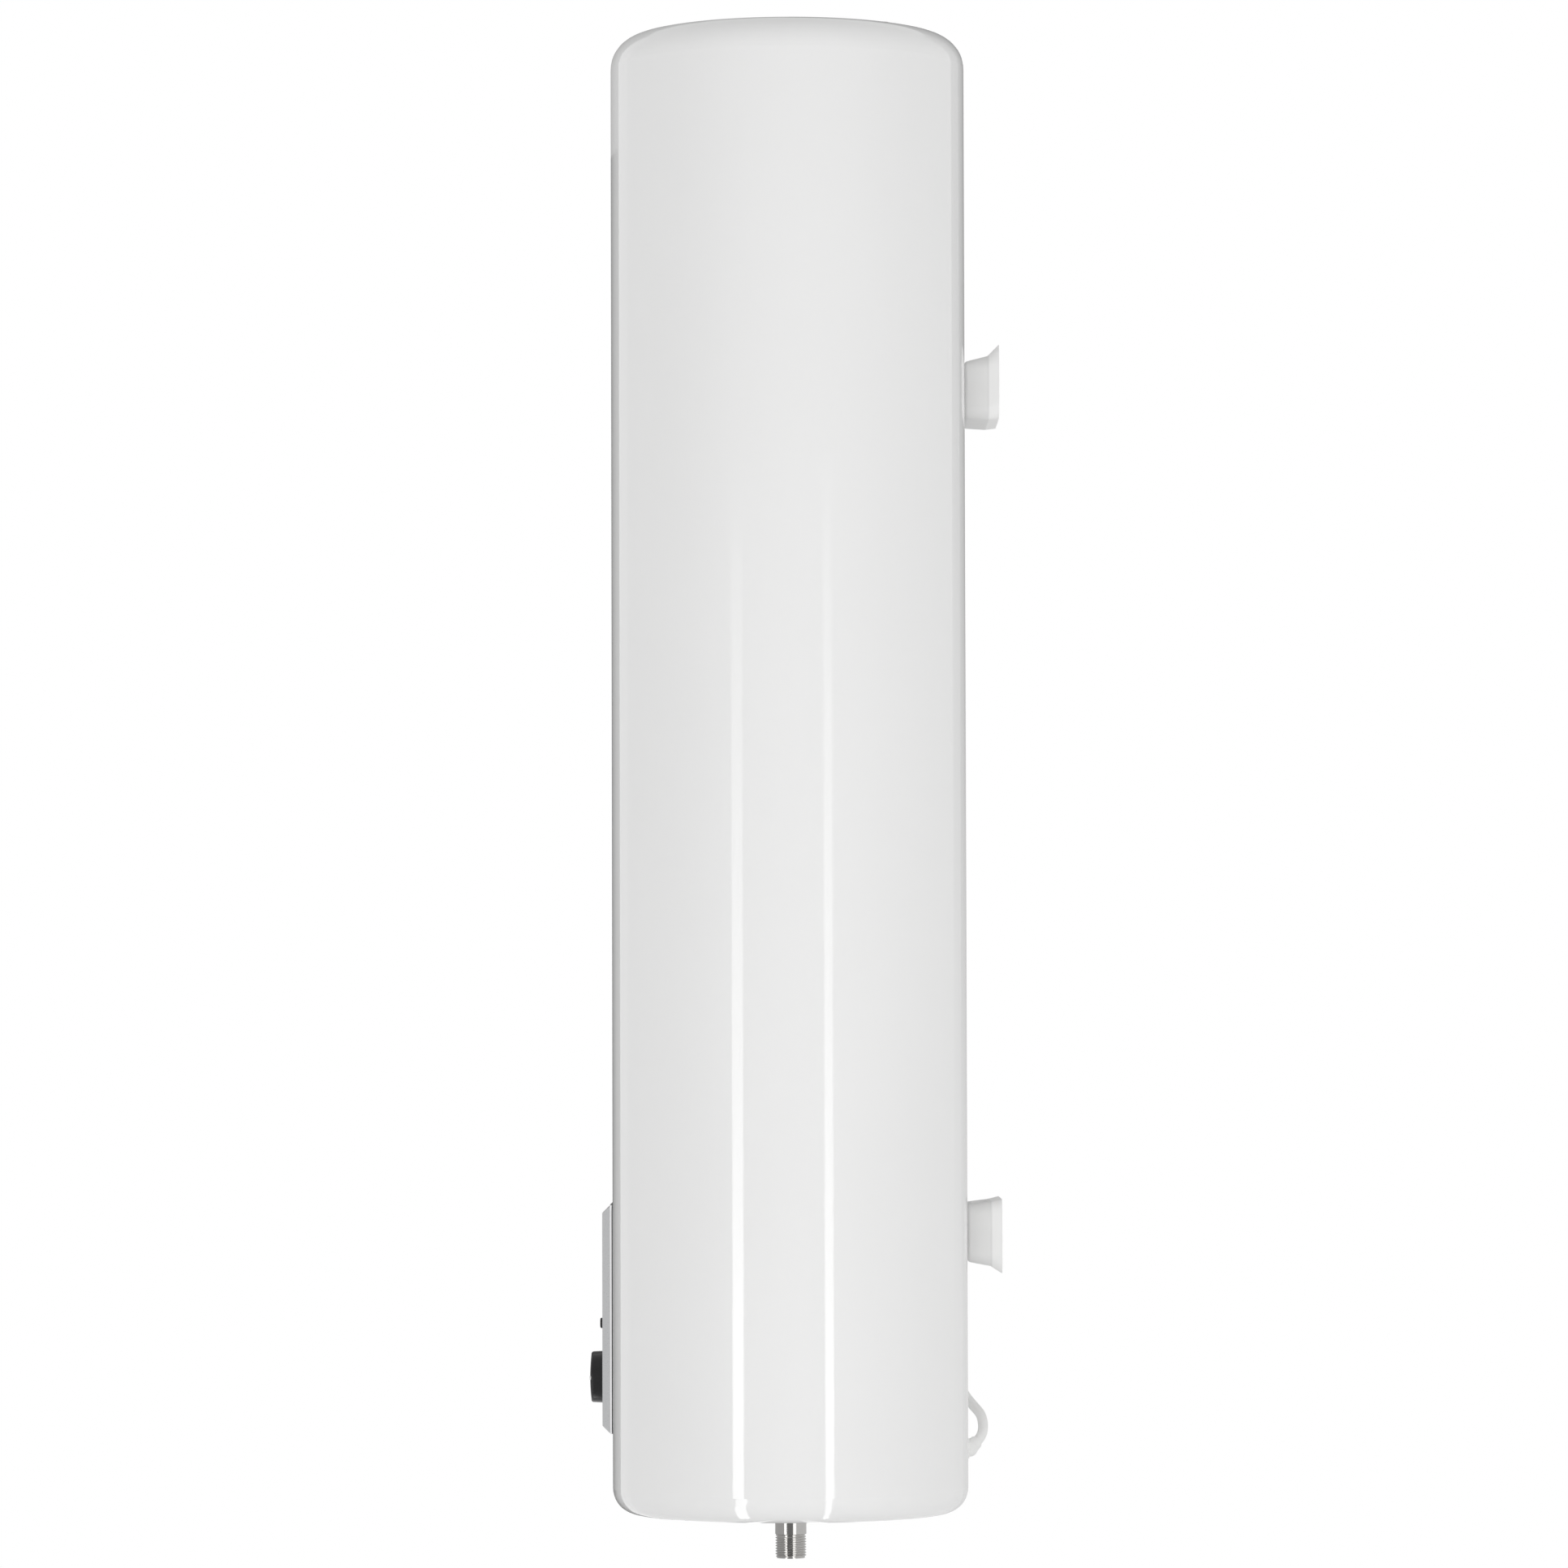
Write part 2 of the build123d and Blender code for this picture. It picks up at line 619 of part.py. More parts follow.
def stamped_tray(tray_z, lean):
    """One hanging tray about a given height, with bolt holes in its base and hook slots in its top."""
    spreads = (0, TRAY_DRAFT, TRAY_DRAFT + TRAY_FLARE)
    rises = (0, TRAY_BEND_LEAN * lean, lean)
    outer_y = (TRAY_BASE_Y, bend_y, 0)
    inner_y = (TRAY_BASE_Y + TRAY_T, bend_y, 0)
    outside = [tray_section(y, s, 0, r) for y, s, r in zip(outer_y, spreads, rises)]
    inside = [tray_section(y, s, TRAY_T, r) for y, s, r in zip(inner_y, spreads, rises)]
    with BuildPart() as tray:
        loft(outside[:2], ruled=True)
        fillet(tray.edges().group_by(Axis.Y)[0], TRAY_BEND_R)
        loft(outside[1:], ruled=True)
        loft(inside[:2], ruled=True, mode=Mode.SUBTRACT)
        loft(inside[1:], ruled=True, mode=Mode.SUBTRACT)
        with BuildSketch(facing(0, TRAY_BASE_Y + TRAY_T, 0)):
            with GridLocations(BOLT_PITCH, 0, 2, 1):
                Circle(BOLT_R + BOLT_GAP)
        extrude(amount=TRAY_T, mode=Mode.SUBTRACT)
        with BuildSketch(Plane((0, -HOOK_OFFSET, 0))):
            with GridLocations(HOOK_PITCH, 0, 2, 1):
                SlotOverall(HOOK_SLOT_L, 2 * HOOK_SLOT_R)
        extrude(amount=TRAY_MOUTH_H, mode=Mode.SUBTRACT)
    return tray.part.moved(Location((0, 0, tray_z)))


trays = (("upper", UPPER_TRAY_Z, UPPER_TRAY_LEAN), ("lower", LOWER_TRAY_Z, LOWER_TRAY_LEAN))
for name, tray_z, lean in trays:
    save(stamped_tray(tray_z, lean), f"{name}_bracket")

    with BuildPart() as pad:
        with BuildSketch(facing(0, TRAY_BASE_Y, tray_z)):
            RectangleRounded(
                TRAY_BASE_W - 2 * PAD_INSET, TRAY_BASE_H - 2 * PAD_INSET, TRAY_CORNER_R - PAD_INSET
            )
            with GridLocations(BOLT_PITCH, 0, 2, 1):
                Circle(BOLT_R + BOLT_GAP, mode=Mode.SUBTRACT)
        extrude(amount=TRAY_PAD_T)
    save(pad.part, f"{name}_bracket_gasket")

    # Strap: a bar cradled on both tanks, with threaded posts out to the jacket
    with BuildPart() as strap:
        with BuildSketch(facing(0, TANK_REAR_Y + STRAP_T, tray_z)):
            Rectangle(STRAP_W, STRAP_H)
        extrude(amount=STRAP_T + STRAP_CRADLE)
        with BuildSketch(Plane((0, BODY_Y, tray_z - STRAP_H / 2))):
            with GridLocations(2 * TANK_X, 0, 2, 1):
                Circle(TANK_R + WELD_GAP)
        extrude(amount=STRAP_H, mode=Mode.SUBTRACT)
        with BuildSketch(facing(0, BACK_Y - SHELL_T, tray_z)):
            with GridLocations(BOLT_PITCH, 0, 2, 1):
                Circle(POST_R)
        extrude(amount=FOAM_T - STRAP_T)
        with BuildSketch(facing(0, BACK_Y - SHELL_T, tray_z)):
            with GridLocations(BOLT_PITCH, 0, 2, 1):
                Circle(BOLT_R + WELD_GAP)
        extrude(amount=FOAM_T - STRAP_T, mode=Mode.SUBTRACT)
    save(strap.part, f"{name}_tank_strap")

with BuildPart() as bracket_bolts:
    for tray_z in (UPPER_TRAY_Z, LOWER_TRAY_Z):
        with BuildSketch(facing(0, TRAY_BASE_Y + TRAY_T, tray_z)):
            with GridLocations(BOLT_PITCH, 0, 2, 1):
                RegularPolygon(BOLT_HEAD_AF / 2, 6, major_radius=False)
        extrude(amount=-BOLT_HEAD_T)
        with BuildSketch(facing(0, TRAY_BASE_Y + TRAY_T, tray_z)):
            with GridLocations(BOLT_PITCH, 0, 2, 1):
                Circle(BOLT_R)
        extrude(amount=TRAY_T + TRAY_PAD_T + SHELL_T + BOLT_REACH)
save(bracket_bolts.part, "bracket_bolts")

# Foam: fills the jacket round tanks, straps, transfer pipe and the control pocket
foam_rise = SERVICE_H + FOAM_GAP
foam_top = BODY_H - COVER_T - COVER_RIB_H - FOAM_GAP
tank_hollows = [vessel_blank(side, FOAM_GAP) for side in SIDES.values()]
transfer_hollow = pipe_along(transfer_points, TRANSFER_BEND_R, TRANSFER_R + FOAM_GAP)
with BuildPart() as insulation_foam:
    with BuildSketch(level(foam_rise)):
        oblong(SHELL_T + FOAM_GAP)
    extrude(amount=foam_top - foam_rise)
    fillet(insulation_foam.edges().group_by(Axis.Z)[-1], TOP_EDGE_R - COVER_RIB_H)
    for hollow in tank_hollows:
        add(hollow, mode=Mode.SUBTRACT)
    add(transfer_hollow, mode=Mode.SUBTRACT)
    for tray_z in (UPPER_TRAY_Z, LOWER_TRAY_Z):
        with BuildSketch(facing(0, TANK_REAR_Y + STRAP_T + FOAM_GAP, tray_z)):
            Rectangle(STRAP_W + 2 * FOAM_GAP, STRAP_H + 2 * FOAM_GAP)
        extrude(amount=STRAP_T + STRAP_CRADLE + 2 * FOAM_GAP, mode=Mode.SUBTRACT)
        with BuildSketch(facing(0, BACK_Y - SHELL_T, tray_z)):
            with GridLocations(BOLT_PITCH, 0, 2, 1):
                Circle(POST_R + FOAM_GAP)
        extrude(amount=FOAM_T, mode=Mode.SUBTRACT)
    with BuildSketch(facing(0, FRONT_Y + POCKET_DEPTH, PANEL_Z)):
        Rectangle(POCKET_W, PANEL_H + 2 * PANEL_CORNER_R)
    extrude(amount=POCKET_DEPTH, mode=Mode.SUBTRACT)
    with BuildSketch(facing(0, FRONT_Y + SHELL_T + PLATE_T + PANEL_SCREW_HEAD_T + SCREW_GAP, PANEL_Z)):
        Rectangle(PANEL_W, PANEL_H + 2 * PANEL_CORNER_R)
    extrude(amount=PLATE_T + PANEL_SCREW_HEAD_T + SCREW_GAP, mode=Mode.SUBTRACT)
save(insulation_foam.part, "insulation_foam")

# Control panel: seal, bevelled frame, front sheet and the plate behind the jacket
with BuildPart() as panel_gasket:
    with BuildSketch(facing(0, FRONT_Y, PANEL_Z)):
        RectangleRounded(
            PANEL_W - 2 * PANEL_SEAL_INSET, PANEL_H - 2 * PANEL_SEAL_INSET, PANEL_CORNER_R - PANEL_SEAL_INSET
        )
        Rectangle(
            PANEL_W - 2 * PANEL_OPENING_INSET, PANEL_H - 2 * PANEL_OPENING_INSET, mode=Mode.SUBTRACT
        )
        with panel_screw_places:
            Circle(PANEL_SCREW_R + SCREW_GAP, mode=Mode.SUBTRACT)
    extrude(amount=PANEL_SEAL_T)
save(panel_gasket.part, "panel_gasket")

with BuildPart() as panel_bezel:
    with BuildSketch(facing(0, PANEL_BACK_Y, PANEL_Z)):
        RectangleRounded(PANEL_W, PANEL_H, PANEL_CORNER_R)
    extrude(amount=PANEL_T)
    chamfer(panel_bezel.edges().group_by(Axis.Y)[0], PANEL_BEVEL)
    with BuildSketch(facing(0, PANEL_BACK_Y, PANEL_Z)):
        Rectangle(PANEL_W - 2 * PANEL_OPENING_INSET, PANEL_H - 2 * PANEL_OPENING_INSET)
    extrude(amount=PANEL_T, mode=Mode.SUBTRACT)
    with BuildSketch(facing(0, FACE_BACK_Y, PANEL_Z)):
        Rectangle(PANEL_W - 2 * FACE_INSET, PANEL_H - 2 * FACE_INSET)
    extrude(amount=FACE_T + FACE_RECESS, mode=Mode.SUBTRACT)
    with BuildSketch(facing(0, PANEL_BACK_Y, PANEL_Z)):
        with panel_screw_places:
            Circle(PANEL_SCREW_R + WELD_GAP)
    extrude(amount=PANEL_SCREW_BITE + SCREW_GAP, mode=Mode.SUBTRACT)
save(panel_bezel.part, "panel_bezel")

with BuildPart() as panel_face:
    with BuildSketch(facing(0, FACE_BACK_Y, PANEL_Z)):
        Rectangle(PANEL_W - 2 * FACE_INSET - 2 * FACE_GAP, PANEL_H - 2 * FACE_INSET - 2 * FACE_GAP)
        with Locations((0, KNOB_Z - PANEL_Z)):
            Circle(SHAFT_R + SHAFT_GAP, mode=Mode.SUBTRACT)
        with Locations((0, BUTTON_Z - PANEL_Z)):
            Circle(BUTTON_R + BUTTON_GAP, mode=Mode.SUBTRACT)
        with Locations((0, LENS_Z - PANEL_Z)):
            Circle(LENS_R + WELD_GAP, mode=Mode.SUBTRACT)
    extrude(amount=FACE_T)
save(panel_face.part, "panel_face")

with BuildPart() as control_plate:
    with BuildSketch(facing(0, PLATE_REAR_Y, PANEL_Z)):
        RectangleRounded(PANEL_W - 2 * PLATE_INSET, PANEL_H - 2 * PLATE_INSET, PANEL_CORNER_R - PLATE_INSET)
        with panel_screw_places:
            Circle(PANEL_SCREW_R + SCREW_GAP, mode=Mode.SUBTRACT)
        with Locations((0, KNOB_Z - PANEL_Z)):
            Circle(BUSH_R + SCREW_GAP, mode=Mode.SUBTRACT)
        with Locations((0, BUTTON_Z - PANEL_Z)):
            Circle(BUTTON_STEM_R + BUTTON_GAP, mode=Mode.SUBTRACT)
    extrude(amount=PLATE_T)
save(control_plate.part, "control_plate")

with BuildPart() as panel_screws:
    with BuildSketch(facing(0, PLATE_REAR_Y, PANEL_Z)):
        with panel_screw_places:
            Circle(PANEL_SCREW_HEAD_R)
    extrude(amount=-PANEL_SCREW_HEAD_T)
    with BuildSketch(facing(0, PLATE_REAR_Y, PANEL_Z)):
        with panel_screw_places:
            Circle(PANEL_SCREW_R)
    extrude(amount=PLATE_T + SHELL_T + PANEL_SEAL_T + PANEL_SCREW_BITE)
save(panel_screws.part, "panel_screws")

# Thermostat behind the plate, with its shaft, the dial knob and the mark in the knob's rim
with BuildPart() as thermostat_body:
    with BuildSketch(facing(0, PLATE_REAR_Y, KNOB_Z)):
        RectangleRounded(THERMOSTAT_W, THERMOSTAT_H, THERMOSTAT_EDGE_R)
    extrude(amount=-THERMOSTAT_D)
    with BuildSketch(facing(0, PLATE_REAR_Y, KNOB_Z)):
        Circle(BUSH_R)
    extrude(amount=PLATE_T + BUSH_L)
    with BuildSketch(facing(0, PLATE_REAR_Y + SHAFT_SOCKET, KNOB_Z)):
        Circle(SHAFT_R + SHAFT_GAP)
    extrude(amount=SHAFT_SOCKET + PLATE_T + BUSH_L, mode=Mode.SUBTRACT)
save(thermostat_body.part, "thermostat_body")

with BuildPart() as thermostat_shaft:
    with BuildSketch(facing(0, PLATE_REAR_Y + SHAFT_SOCKET - SHAFT_GAP, KNOB_Z)):
        Circle(SHAFT_R)
    extrude(amount=PLATE_REAR_Y + SHAFT_SOCKET - SHAFT_GAP - KNOB_BACK_Y + SHAFT_BITE)
save(thermostat_shaft.part, "thermostat_shaft")

pointer_x = KNOB_R - POINTER_L / 2
pointer_floor_y = KNOB_BACK_Y - KNOB_T + POINTER_DEPTH
with BuildPart() as temperature_knob:
    with BuildSketch(facing(0, KNOB_BACK_Y, KNOB_Z)):
        Circle(KNOB_R)
    extrude(amount=KNOB_T)
    fillet(temperature_knob.edges().group_by(Axis.Y)[0], KNOB_EDGE_R)
    fillet(temperature_knob.edges().group_by(Axis.Y)[-1], KNOB_RIM_R)
    with BuildSketch(facing(0, KNOB_BACK_Y, KNOB_Z)):
        Circle(KNOB_R - KNOB_WALL)
        Circle(KNOB_HUB_R, mode=Mode.SUBTRACT)
    extrude(amount=KNOB_T - KNOB_WALL, mode=Mode.SUBTRACT)
    with BuildSketch(facing(0, KNOB_BACK_Y, KNOB_Z)):
        Circle(SHAFT_R + WELD_GAP)
    extrude(amount=SHAFT_BITE, mode=Mode.SUBTRACT)
    with BuildSketch(facing(pointer_x, pointer_floor_y, KNOB_Z)):
        Rectangle(POINTER_L + 2 * POINTER_GAP, POINTER_W + 2 * POINTER_GAP)
    extrude(amount=POINTER_DEPTH, mode=Mode.SUBTRACT)
save(temperature_knob.part, "temperature_knob")

with BuildPart() as knob_pointer:
    with BuildSketch(facing(pointer_x - KNOB_EDGE_R / 2, pointer_floor_y, KNOB_Z)):
        Rectangle(POINTER_L - KNOB_EDGE_R, POINTER_W)
    extrude(amount=POINTER_DEPTH)
save(knob_pointer.part, "knob_pointer")

# Push button with its retaining collar and stem, and the switch that the stem works
with BuildPart() as mode_button:
    with BuildSketch(facing(0, FACE_BACK_Y + BUTTON_GAP, BUTTON_Z)):
        Circle(BUTTON_R)
    extrude(amount=FACE_BACK_Y + BUTTON_GAP - PANEL_FRONT_Y + BUTTON_PROUD)
    fillet(mode_button.edges().group_by(Axis.Y)[0], BUTTON_EDGE_R)
    with BuildSketch(facing(0, FACE_BACK_Y + BUTTON_GAP, BUTTON_Z)):
        Circle(BUTTON_COLLAR_R)
    extrude(amount=-BUTTON_COLLAR_T)
    with BuildSketch(facing(0, FACE_BACK_Y + BUTTON_GAP, BUTTON_Z)):
        Circle(BUTTON_STEM_R)
    extrude(amount=-(PLATE_REAR_Y + BUTTON_SOCKET - FACE_BACK_Y - BUTTON_GAP))
save(mode_button.part, "mode_button")

with BuildPart() as mode_switch:
    with BuildSketch(facing(0, PLATE_REAR_Y, BUTTON_Z)):
        RectangleRounded(SWITCH_SIDE, SWITCH_SIDE, BUTTON_EDGE_R)
    extrude(amount=-SWITCH_D)
    with BuildSketch(facing(0, PLATE_REAR_Y, BUTTON_Z)):
        Circle(BUTTON_STEM_R + BUTTON_GAP)
    extrude(amount=-(BUTTON_SOCKET + BUTTON_TRAVEL + BUTTON_GAP), mode=Mode.SUBTRACT)
save(mode_switch.part, "mode_switch")

# Pilot light: a flush lens held behind the front sheet by its flange, with the lamp behind it
with BuildPart() as indicator_lens:
    with BuildSketch(facing(0, FACE_BACK_Y, LENS_Z)):
        Circle(LENS_R)
    extrude(amount=FACE_T)
    with BuildSketch(facing(0, FACE_BACK_Y, LENS_Z)):
        Circle(LENS_FLANGE_R)
    extrude(amount=-LENS_FLANGE_T)
save(indicator_lens.part, "indicator_lens")

with BuildPart() as indicator_lamp:
    with BuildSketch(facing(0, PLATE_FRONT_Y, LENS_Z)):
        Circle(LENS_FLANGE_R)
    extrude(amount=PLATE_FRONT_Y - FACE_BACK_Y - LENS_FLANGE_T)
save(indicator_lamp.part, "indicator_lamp")

# Safety cut-out under the inlet flange, its probe in the sensor pocket, and its reset button
with BuildPart() as thermal_cutout:
    with BuildSketch(Plane((FLANGE_X, WELL_Y, FLANGE_Z))):
        RectangleRounded(CUTOUT_W, CUTOUT_D, CUTOUT_EDGE_R)
    extrude(amount=-CUTOUT_H)
    with BuildSketch(Plane((FLANGE_X, WELL_Y, FLANGE_Z))):
        Circle(PROBE_R)
    extrude(amount=PROBE_L)
    with BuildSketch(Plane((FLANGE_X, WELL_Y, CUTOUT_Z))):
        Circle(RESET_R + RESET_GAP)
    extrude(amount=RESET_SOCKET + RESET_TRAVEL + RESET_GAP, mode=Mode.SUBTRACT)
save(thermal_cutout.part, "thermal_cutout")

with BuildPart() as reset_button:
    with BuildSketch(Plane((FLANGE_X, WELL_Y, CUTOUT_Z - RESET_PROUD))):
        Circle(RESET_R)
    extrude(amount=RESET_PROUD + RESET_SOCKET)
    fillet(reset_button.edges().group_by(Axis.Z)[0], RESET_R / 4)
save(reset_button.part, "reset_button")

# Capillary from the thermostat down, across the service space and up into the outlet's pocket
capillary_y = PLATE_REAR_Y + THERMOSTAT_D / 2
capillary_top_z = KNOB_Z - THERMOSTAT_H / 2
capillary_low_z = capillary_top_z - CAPILLARY_DROP
capillary_x = -THERMOSTAT_W / 4
bulb_end_z = FLANGE_Z + WELL_L - BULB_TIP_GAP
bulb_start_z = bulb_end_z - BULB_L
capillary = pipe_along(
    [
        (capillary_x, capillary_y, capillary_top_z),
        (capillary_x, capillary_y, capillary_low_z),
        (-FLANGE_X, WELL_Y, capillary_low_z),
        (-FLANGE_X, WELL_Y, bulb_start_z),
    ],
    CAPILLARY_BEND_R,
    CAPILLARY_R,
)
with BuildPart() as capillary_tube:
    add(capillary)
    with BuildSketch(Plane((-FLANGE_X, WELL_Y, bulb_start_z))):
        Circle(BULB_R)
    extrude(amount=BULB_L)
save(capillary_tube.part, "capillary_tube")

# Terminal block on the back wall, and the wires that leave it
with BuildPart() as terminal_block:
    with BuildSketch(facing(0, BACK_Y - SHELL_T, BLOCK_Z)):
        RectangleRounded(BLOCK_W, BLOCK_H, CUTOUT_EDGE_R)
    extrude(amount=BLOCK_D)
    with BuildSketch(facing(0, BLOCK_FRONT_Y, BLOCK_Z)):
        with GridLocations(BLOCK_WELL_PITCH, 0, BLOCK_WELLS, 1):
            Circle(BLOCK_WELL_R)
    extrude(amount=-BLOCK_WELL_DEPTH, mode=Mode.SUBTRACT)
save(terminal_block.part, "terminal_block")

well_x = [BLOCK_WELL_PITCH * (i - (BLOCK_WELLS - 1) / 2) for i in range(BLOCK_WELLS)]
well_floor_y = BLOCK_FRONT_Y + BLOCK_WELL_DEPTH
wire_out_y = BLOCK_FRONT_Y - 3 * WIRE_BEND_R
wire_low_z = PIN_END_Z - 3 * WIRE_BEND_R
gland_end_y = BACK_Y - SHELL_T - GLAND_BARREL_L
inner_pin_x = FLANGE_X - ELEMENT_PITCH / 2
thermostat_wire_z = capillary_top_z - 3 * WIRE_BEND_R
wire_routes = [
    [
        (GLAND_X, gland_end_y, GLAND_Z),
        (GLAND_X, wire_out_y, GLAND_Z),
        (well_x[0], wire_out_y, BLOCK_Z),
        (well_x[0], well_floor_y, BLOCK_Z),
    ],
    [
        (well_x[1], well_floor_y, BLOCK_Z),
        (well_x[1], wire_out_y, BLOCK_Z),
        (-inner_pin_x, element_y, wire_low_z),
        (-inner_pin_x, element_y, PIN_END_Z),
    ],
    [
        (well_x[2], well_floor_y, BLOCK_Z),
        (well_x[2], wire_out_y, BLOCK_Z),
        (well_x[2], capillary_y, thermostat_wire_z),
        (well_x[2], capillary_y, capillary_top_z),
    ],
    [
        (well_x[3], well_floor_y, BLOCK_Z),
        (well_x[3], wire_out_y, BLOCK_Z),
        (inner_pin_x, element_y, wire_low_z),
        (inner_pin_x, element_y, PIN_END_Z),
    ],
]
wires = [pipe_along(route, WIRE_BEND_R, WIRE_R) for route in wire_routes]
with BuildPart() as wiring_harness:
    for wire in wires:
        add(wire)
save(wiring_harness.part, "wiring_harness")

# Cord gland: a cone on the jacket, a ball and a short nose that points the lead upwards
gland_nose = Plane(
    (GLAND_X, BACK_Y + GLAND_FLANGE_T, GLAND_Z),
    x_dir=(1, 0, 0),
    z_dir=(
        -sin(radians(GLAND_SWING)),
        cos(radians(GLAND_SWING)) * cos(radians(GLAND_TILT)),
        cos(radians(GLAND_SWING)) * sin(radians(GLAND_TILT)),
    ),
)
with BuildPart() as cord_gland:
    with BuildSketch(facing(GLAND_X, BACK_Y, GLAND_Z)):
        Circle(GLAND_FLANGE_R)
    with BuildSketch(facing(GLAND_X, BACK_Y + GLAND_FLANGE_T, GLAND_Z)):
        Circle(GLAND_FLANGE_TOP_R)
    loft()
    with BuildSketch(facing(GLAND_X, BACK_Y, GLAND_Z)):
        Circle(GLAND_BARREL_R)
    extrude(amount=SHELL_T + GLAND_BARREL_L)
    with Locations(gland_nose.origin):
        Sphere(GLAND_BALL_R)
    with BuildSketch(gland_nose):
        Circle(GLAND_NOSE_BASE_R)
    with BuildSketch(gland_nose.offset(GLAND_NOSE_L)):
        Circle(GLAND_NOSE_TIP_R)
    loft()
save(cord_gland.part, "cord_gland")

with BuildPart() as gland_nut:
    with BuildSketch(facing(GLAND_X, BACK_Y - SHELL_T, GLAND_Z)):
        RegularPolygon(GLAND_NUT_AF / 2, 6, major_radius=False)
        Circle(GLAND_BARREL_R + WELD_GAP, mode=Mode.SUBTRACT)
    extrude(amount=GLAND_NUT_T)
save(gland_nut.part, "gland_nut")

# Mains lead. It leaves the gland, climbs the far back corner and crosses the top edge to its coil.
cord_start = gland_nose.origin + gland_nose.z_dir * GLAND_NOSE_L
cord_points = [
    cord_start,
    cord_start + gland_nose.z_dir * CORD_FIRST_RUN,
    Vector(-110.0, -9.6, -741.6),
    Vector(-125.0, -15.5, -735.6),
    Vector(-139.0, -24.5, -724.6),
    Vector(-149.5, -30.0, -701.6),
    Vector(-151.5, -30.7, -646.6),
    Vector(-153.0, -31.3, -541.6),
    Vector(-153.8, -31.8, -426.6),
    Vector(-154.3, -32.0, -306.6),
    Vector(-154.6, -32.0, -199.6),
    Vector(-155.3, -32.3, -101.6),
    Vector(-155.8, -32.4, -3.6),
    Vector(-156.1, -32.6, 85.4),
    Vector(-156.6, -32.9, 145.4),
    Vector(-157.1, -33.8, 189.4),
    Vector(-157.7, -42.5, 218.4),
    Vector(-158.6, -73.0, 228.9),
    Vector(-159.6, -110.0, 215.4),
    Vector(-159.0, -151.0, 210.1),
    Vector(-159.0, -193.0, 210.1),
]
tail_points = [
    Vector(-75.0, -193.0, 217.7),
    Vector(-75.0, -176.0, 217.7),
    Vector(-76.0, -150.0, 223.2),
    Vector(-76.0, -134.0, 223.2),
]


def cord_radii(points):
    """Largest bend radii that the runs on each side of a cord's points allow."""
    radii = []
    for before, at, after in zip(points, points[1:], points[2:]):
        shorter = min((at - before).length, (after - at).length)
        half_turn = radians((at - before).get_angle(after - at)) / 2
        radii.append(CORD_BEND_SHARE * shorter / tan(half_turn))
    return radii


def cord_tube(points, name):
    """Round lead along a hand-chosen route; prints its bend radii and checks its volume."""
    radii = cord_radii(points)
    with BuildPart() as lead:
        with BuildLine() as path:
            FilletPolyline(*points, radius=radii)
        with BuildSketch(Plane(path.line @ 0, z_dir=path.line % 0)):
            Circle(CORD_R)
        sweep()
    length = path.wire().length
    print(name, "radii", [round(r, 1) for r in radii])
    print(name, "length", round(length, 1), "volume ratio", lead.part.volume / (pi * CORD_R**2 * length))
    return lead.part


save(cord_tube(cord_points, "power_cord"), "power_cord")
save(cord_tube(tail_points, "cord_tail"), "cord_tail")

# Coil: two layers that spiral in and out again, with the climb where the spiral reverses
coil_entry = cord_points[-1]
coil_centre = coil_entry + Vector(COIL_R, -2 * CORD_R, 0)
coil_rise = tail_points[0].Z - coil_entry.Z


def coil_point(turn):
    """Point on the coil's centre line after a number of turns."""
    radius = COIL_R - COIL_PITCH * min(turn, COIL_TURNS - turn)
    angle = pi + 2 * pi * turn
    part_way = (turn - (COIL_TURNS - COIL_CLIMB_TURNS) / 2) / COIL_CLIMB_TURNS
    climbed = (1 - cos(pi * min(max(part_way, 0), 1))) / 2
    return coil_centre + Vector(radius * cos(angle), radius * sin(angle), coil_rise * climbed)


def coil_direction(turn):
    """Unit direction of the coil's centre line after a number of turns."""
    if turn in (0, COIL_TURNS):
        return Vector(0, -1 if turn == 0 else 1, 0)
    return (coil_point(turn + TURN_STEP) - coil_point(turn - TURN_STEP)).normalized()


def biarc(start, start_direction, end, end_direction):
    """Two tangent arcs that join two points along given directions."""
    chord = end - start
    across = 1 - start_direction.dot(end_direction)
    along = chord.dot(start_direction + end_direction)
    reach = (sqrt(along**2 + 2 * across * chord.dot(chord)) - along) / (2 * across)
    knot = (start + end + (start_direction - end_direction) * reach) / 2
    knot_direction = (end - end_direction * reach) - (start + start_direction * reach)
    TangentArc(start, knot, tangent=start_direction)
    TangentArc(knot, end, tangent=knot_direction.normalized())


quarters = [i / 4 for i in range(int(4 * COIL_TURNS) + 1)]
with BuildPart() as cord_coil:
    with BuildLine() as windings:
        Line(coil_entry, coil_point(0))
        for turn, following in zip(quarters, quarters[1:]):
            biarc(coil_point(turn), coil_direction(turn), coil_point(following), coil_direction(following))
        Line(coil_point(COIL_TURNS), tail_points[0])
    with BuildSketch(Plane(coil_entry, z_dir=(0, -1, 0))):
        Circle(CORD_R)
    sweep()
coil_length = windings.wire().length
samples = [windings.wire() @ (i / COIL_SAMPLES) for i in range(COIL_SAMPLES + 1)]
apart = int(COIL_SAMPLES * COIL_SELF_RADII * CORD_R / coil_length) + 1
least_gap = min((p - q).length for i, p in enumerate(samples) for q in samples[i + apart:]) - 2 * CORD_R
print("cord_coil length", round(coil_length, 1), "least gap", round(least_gap, 2))
print("cord_coil volume ratio", cord_coil.part.volume / (pi * CORD_R**2 * coil_length))
save(cord_coil.part, "cord_coil")

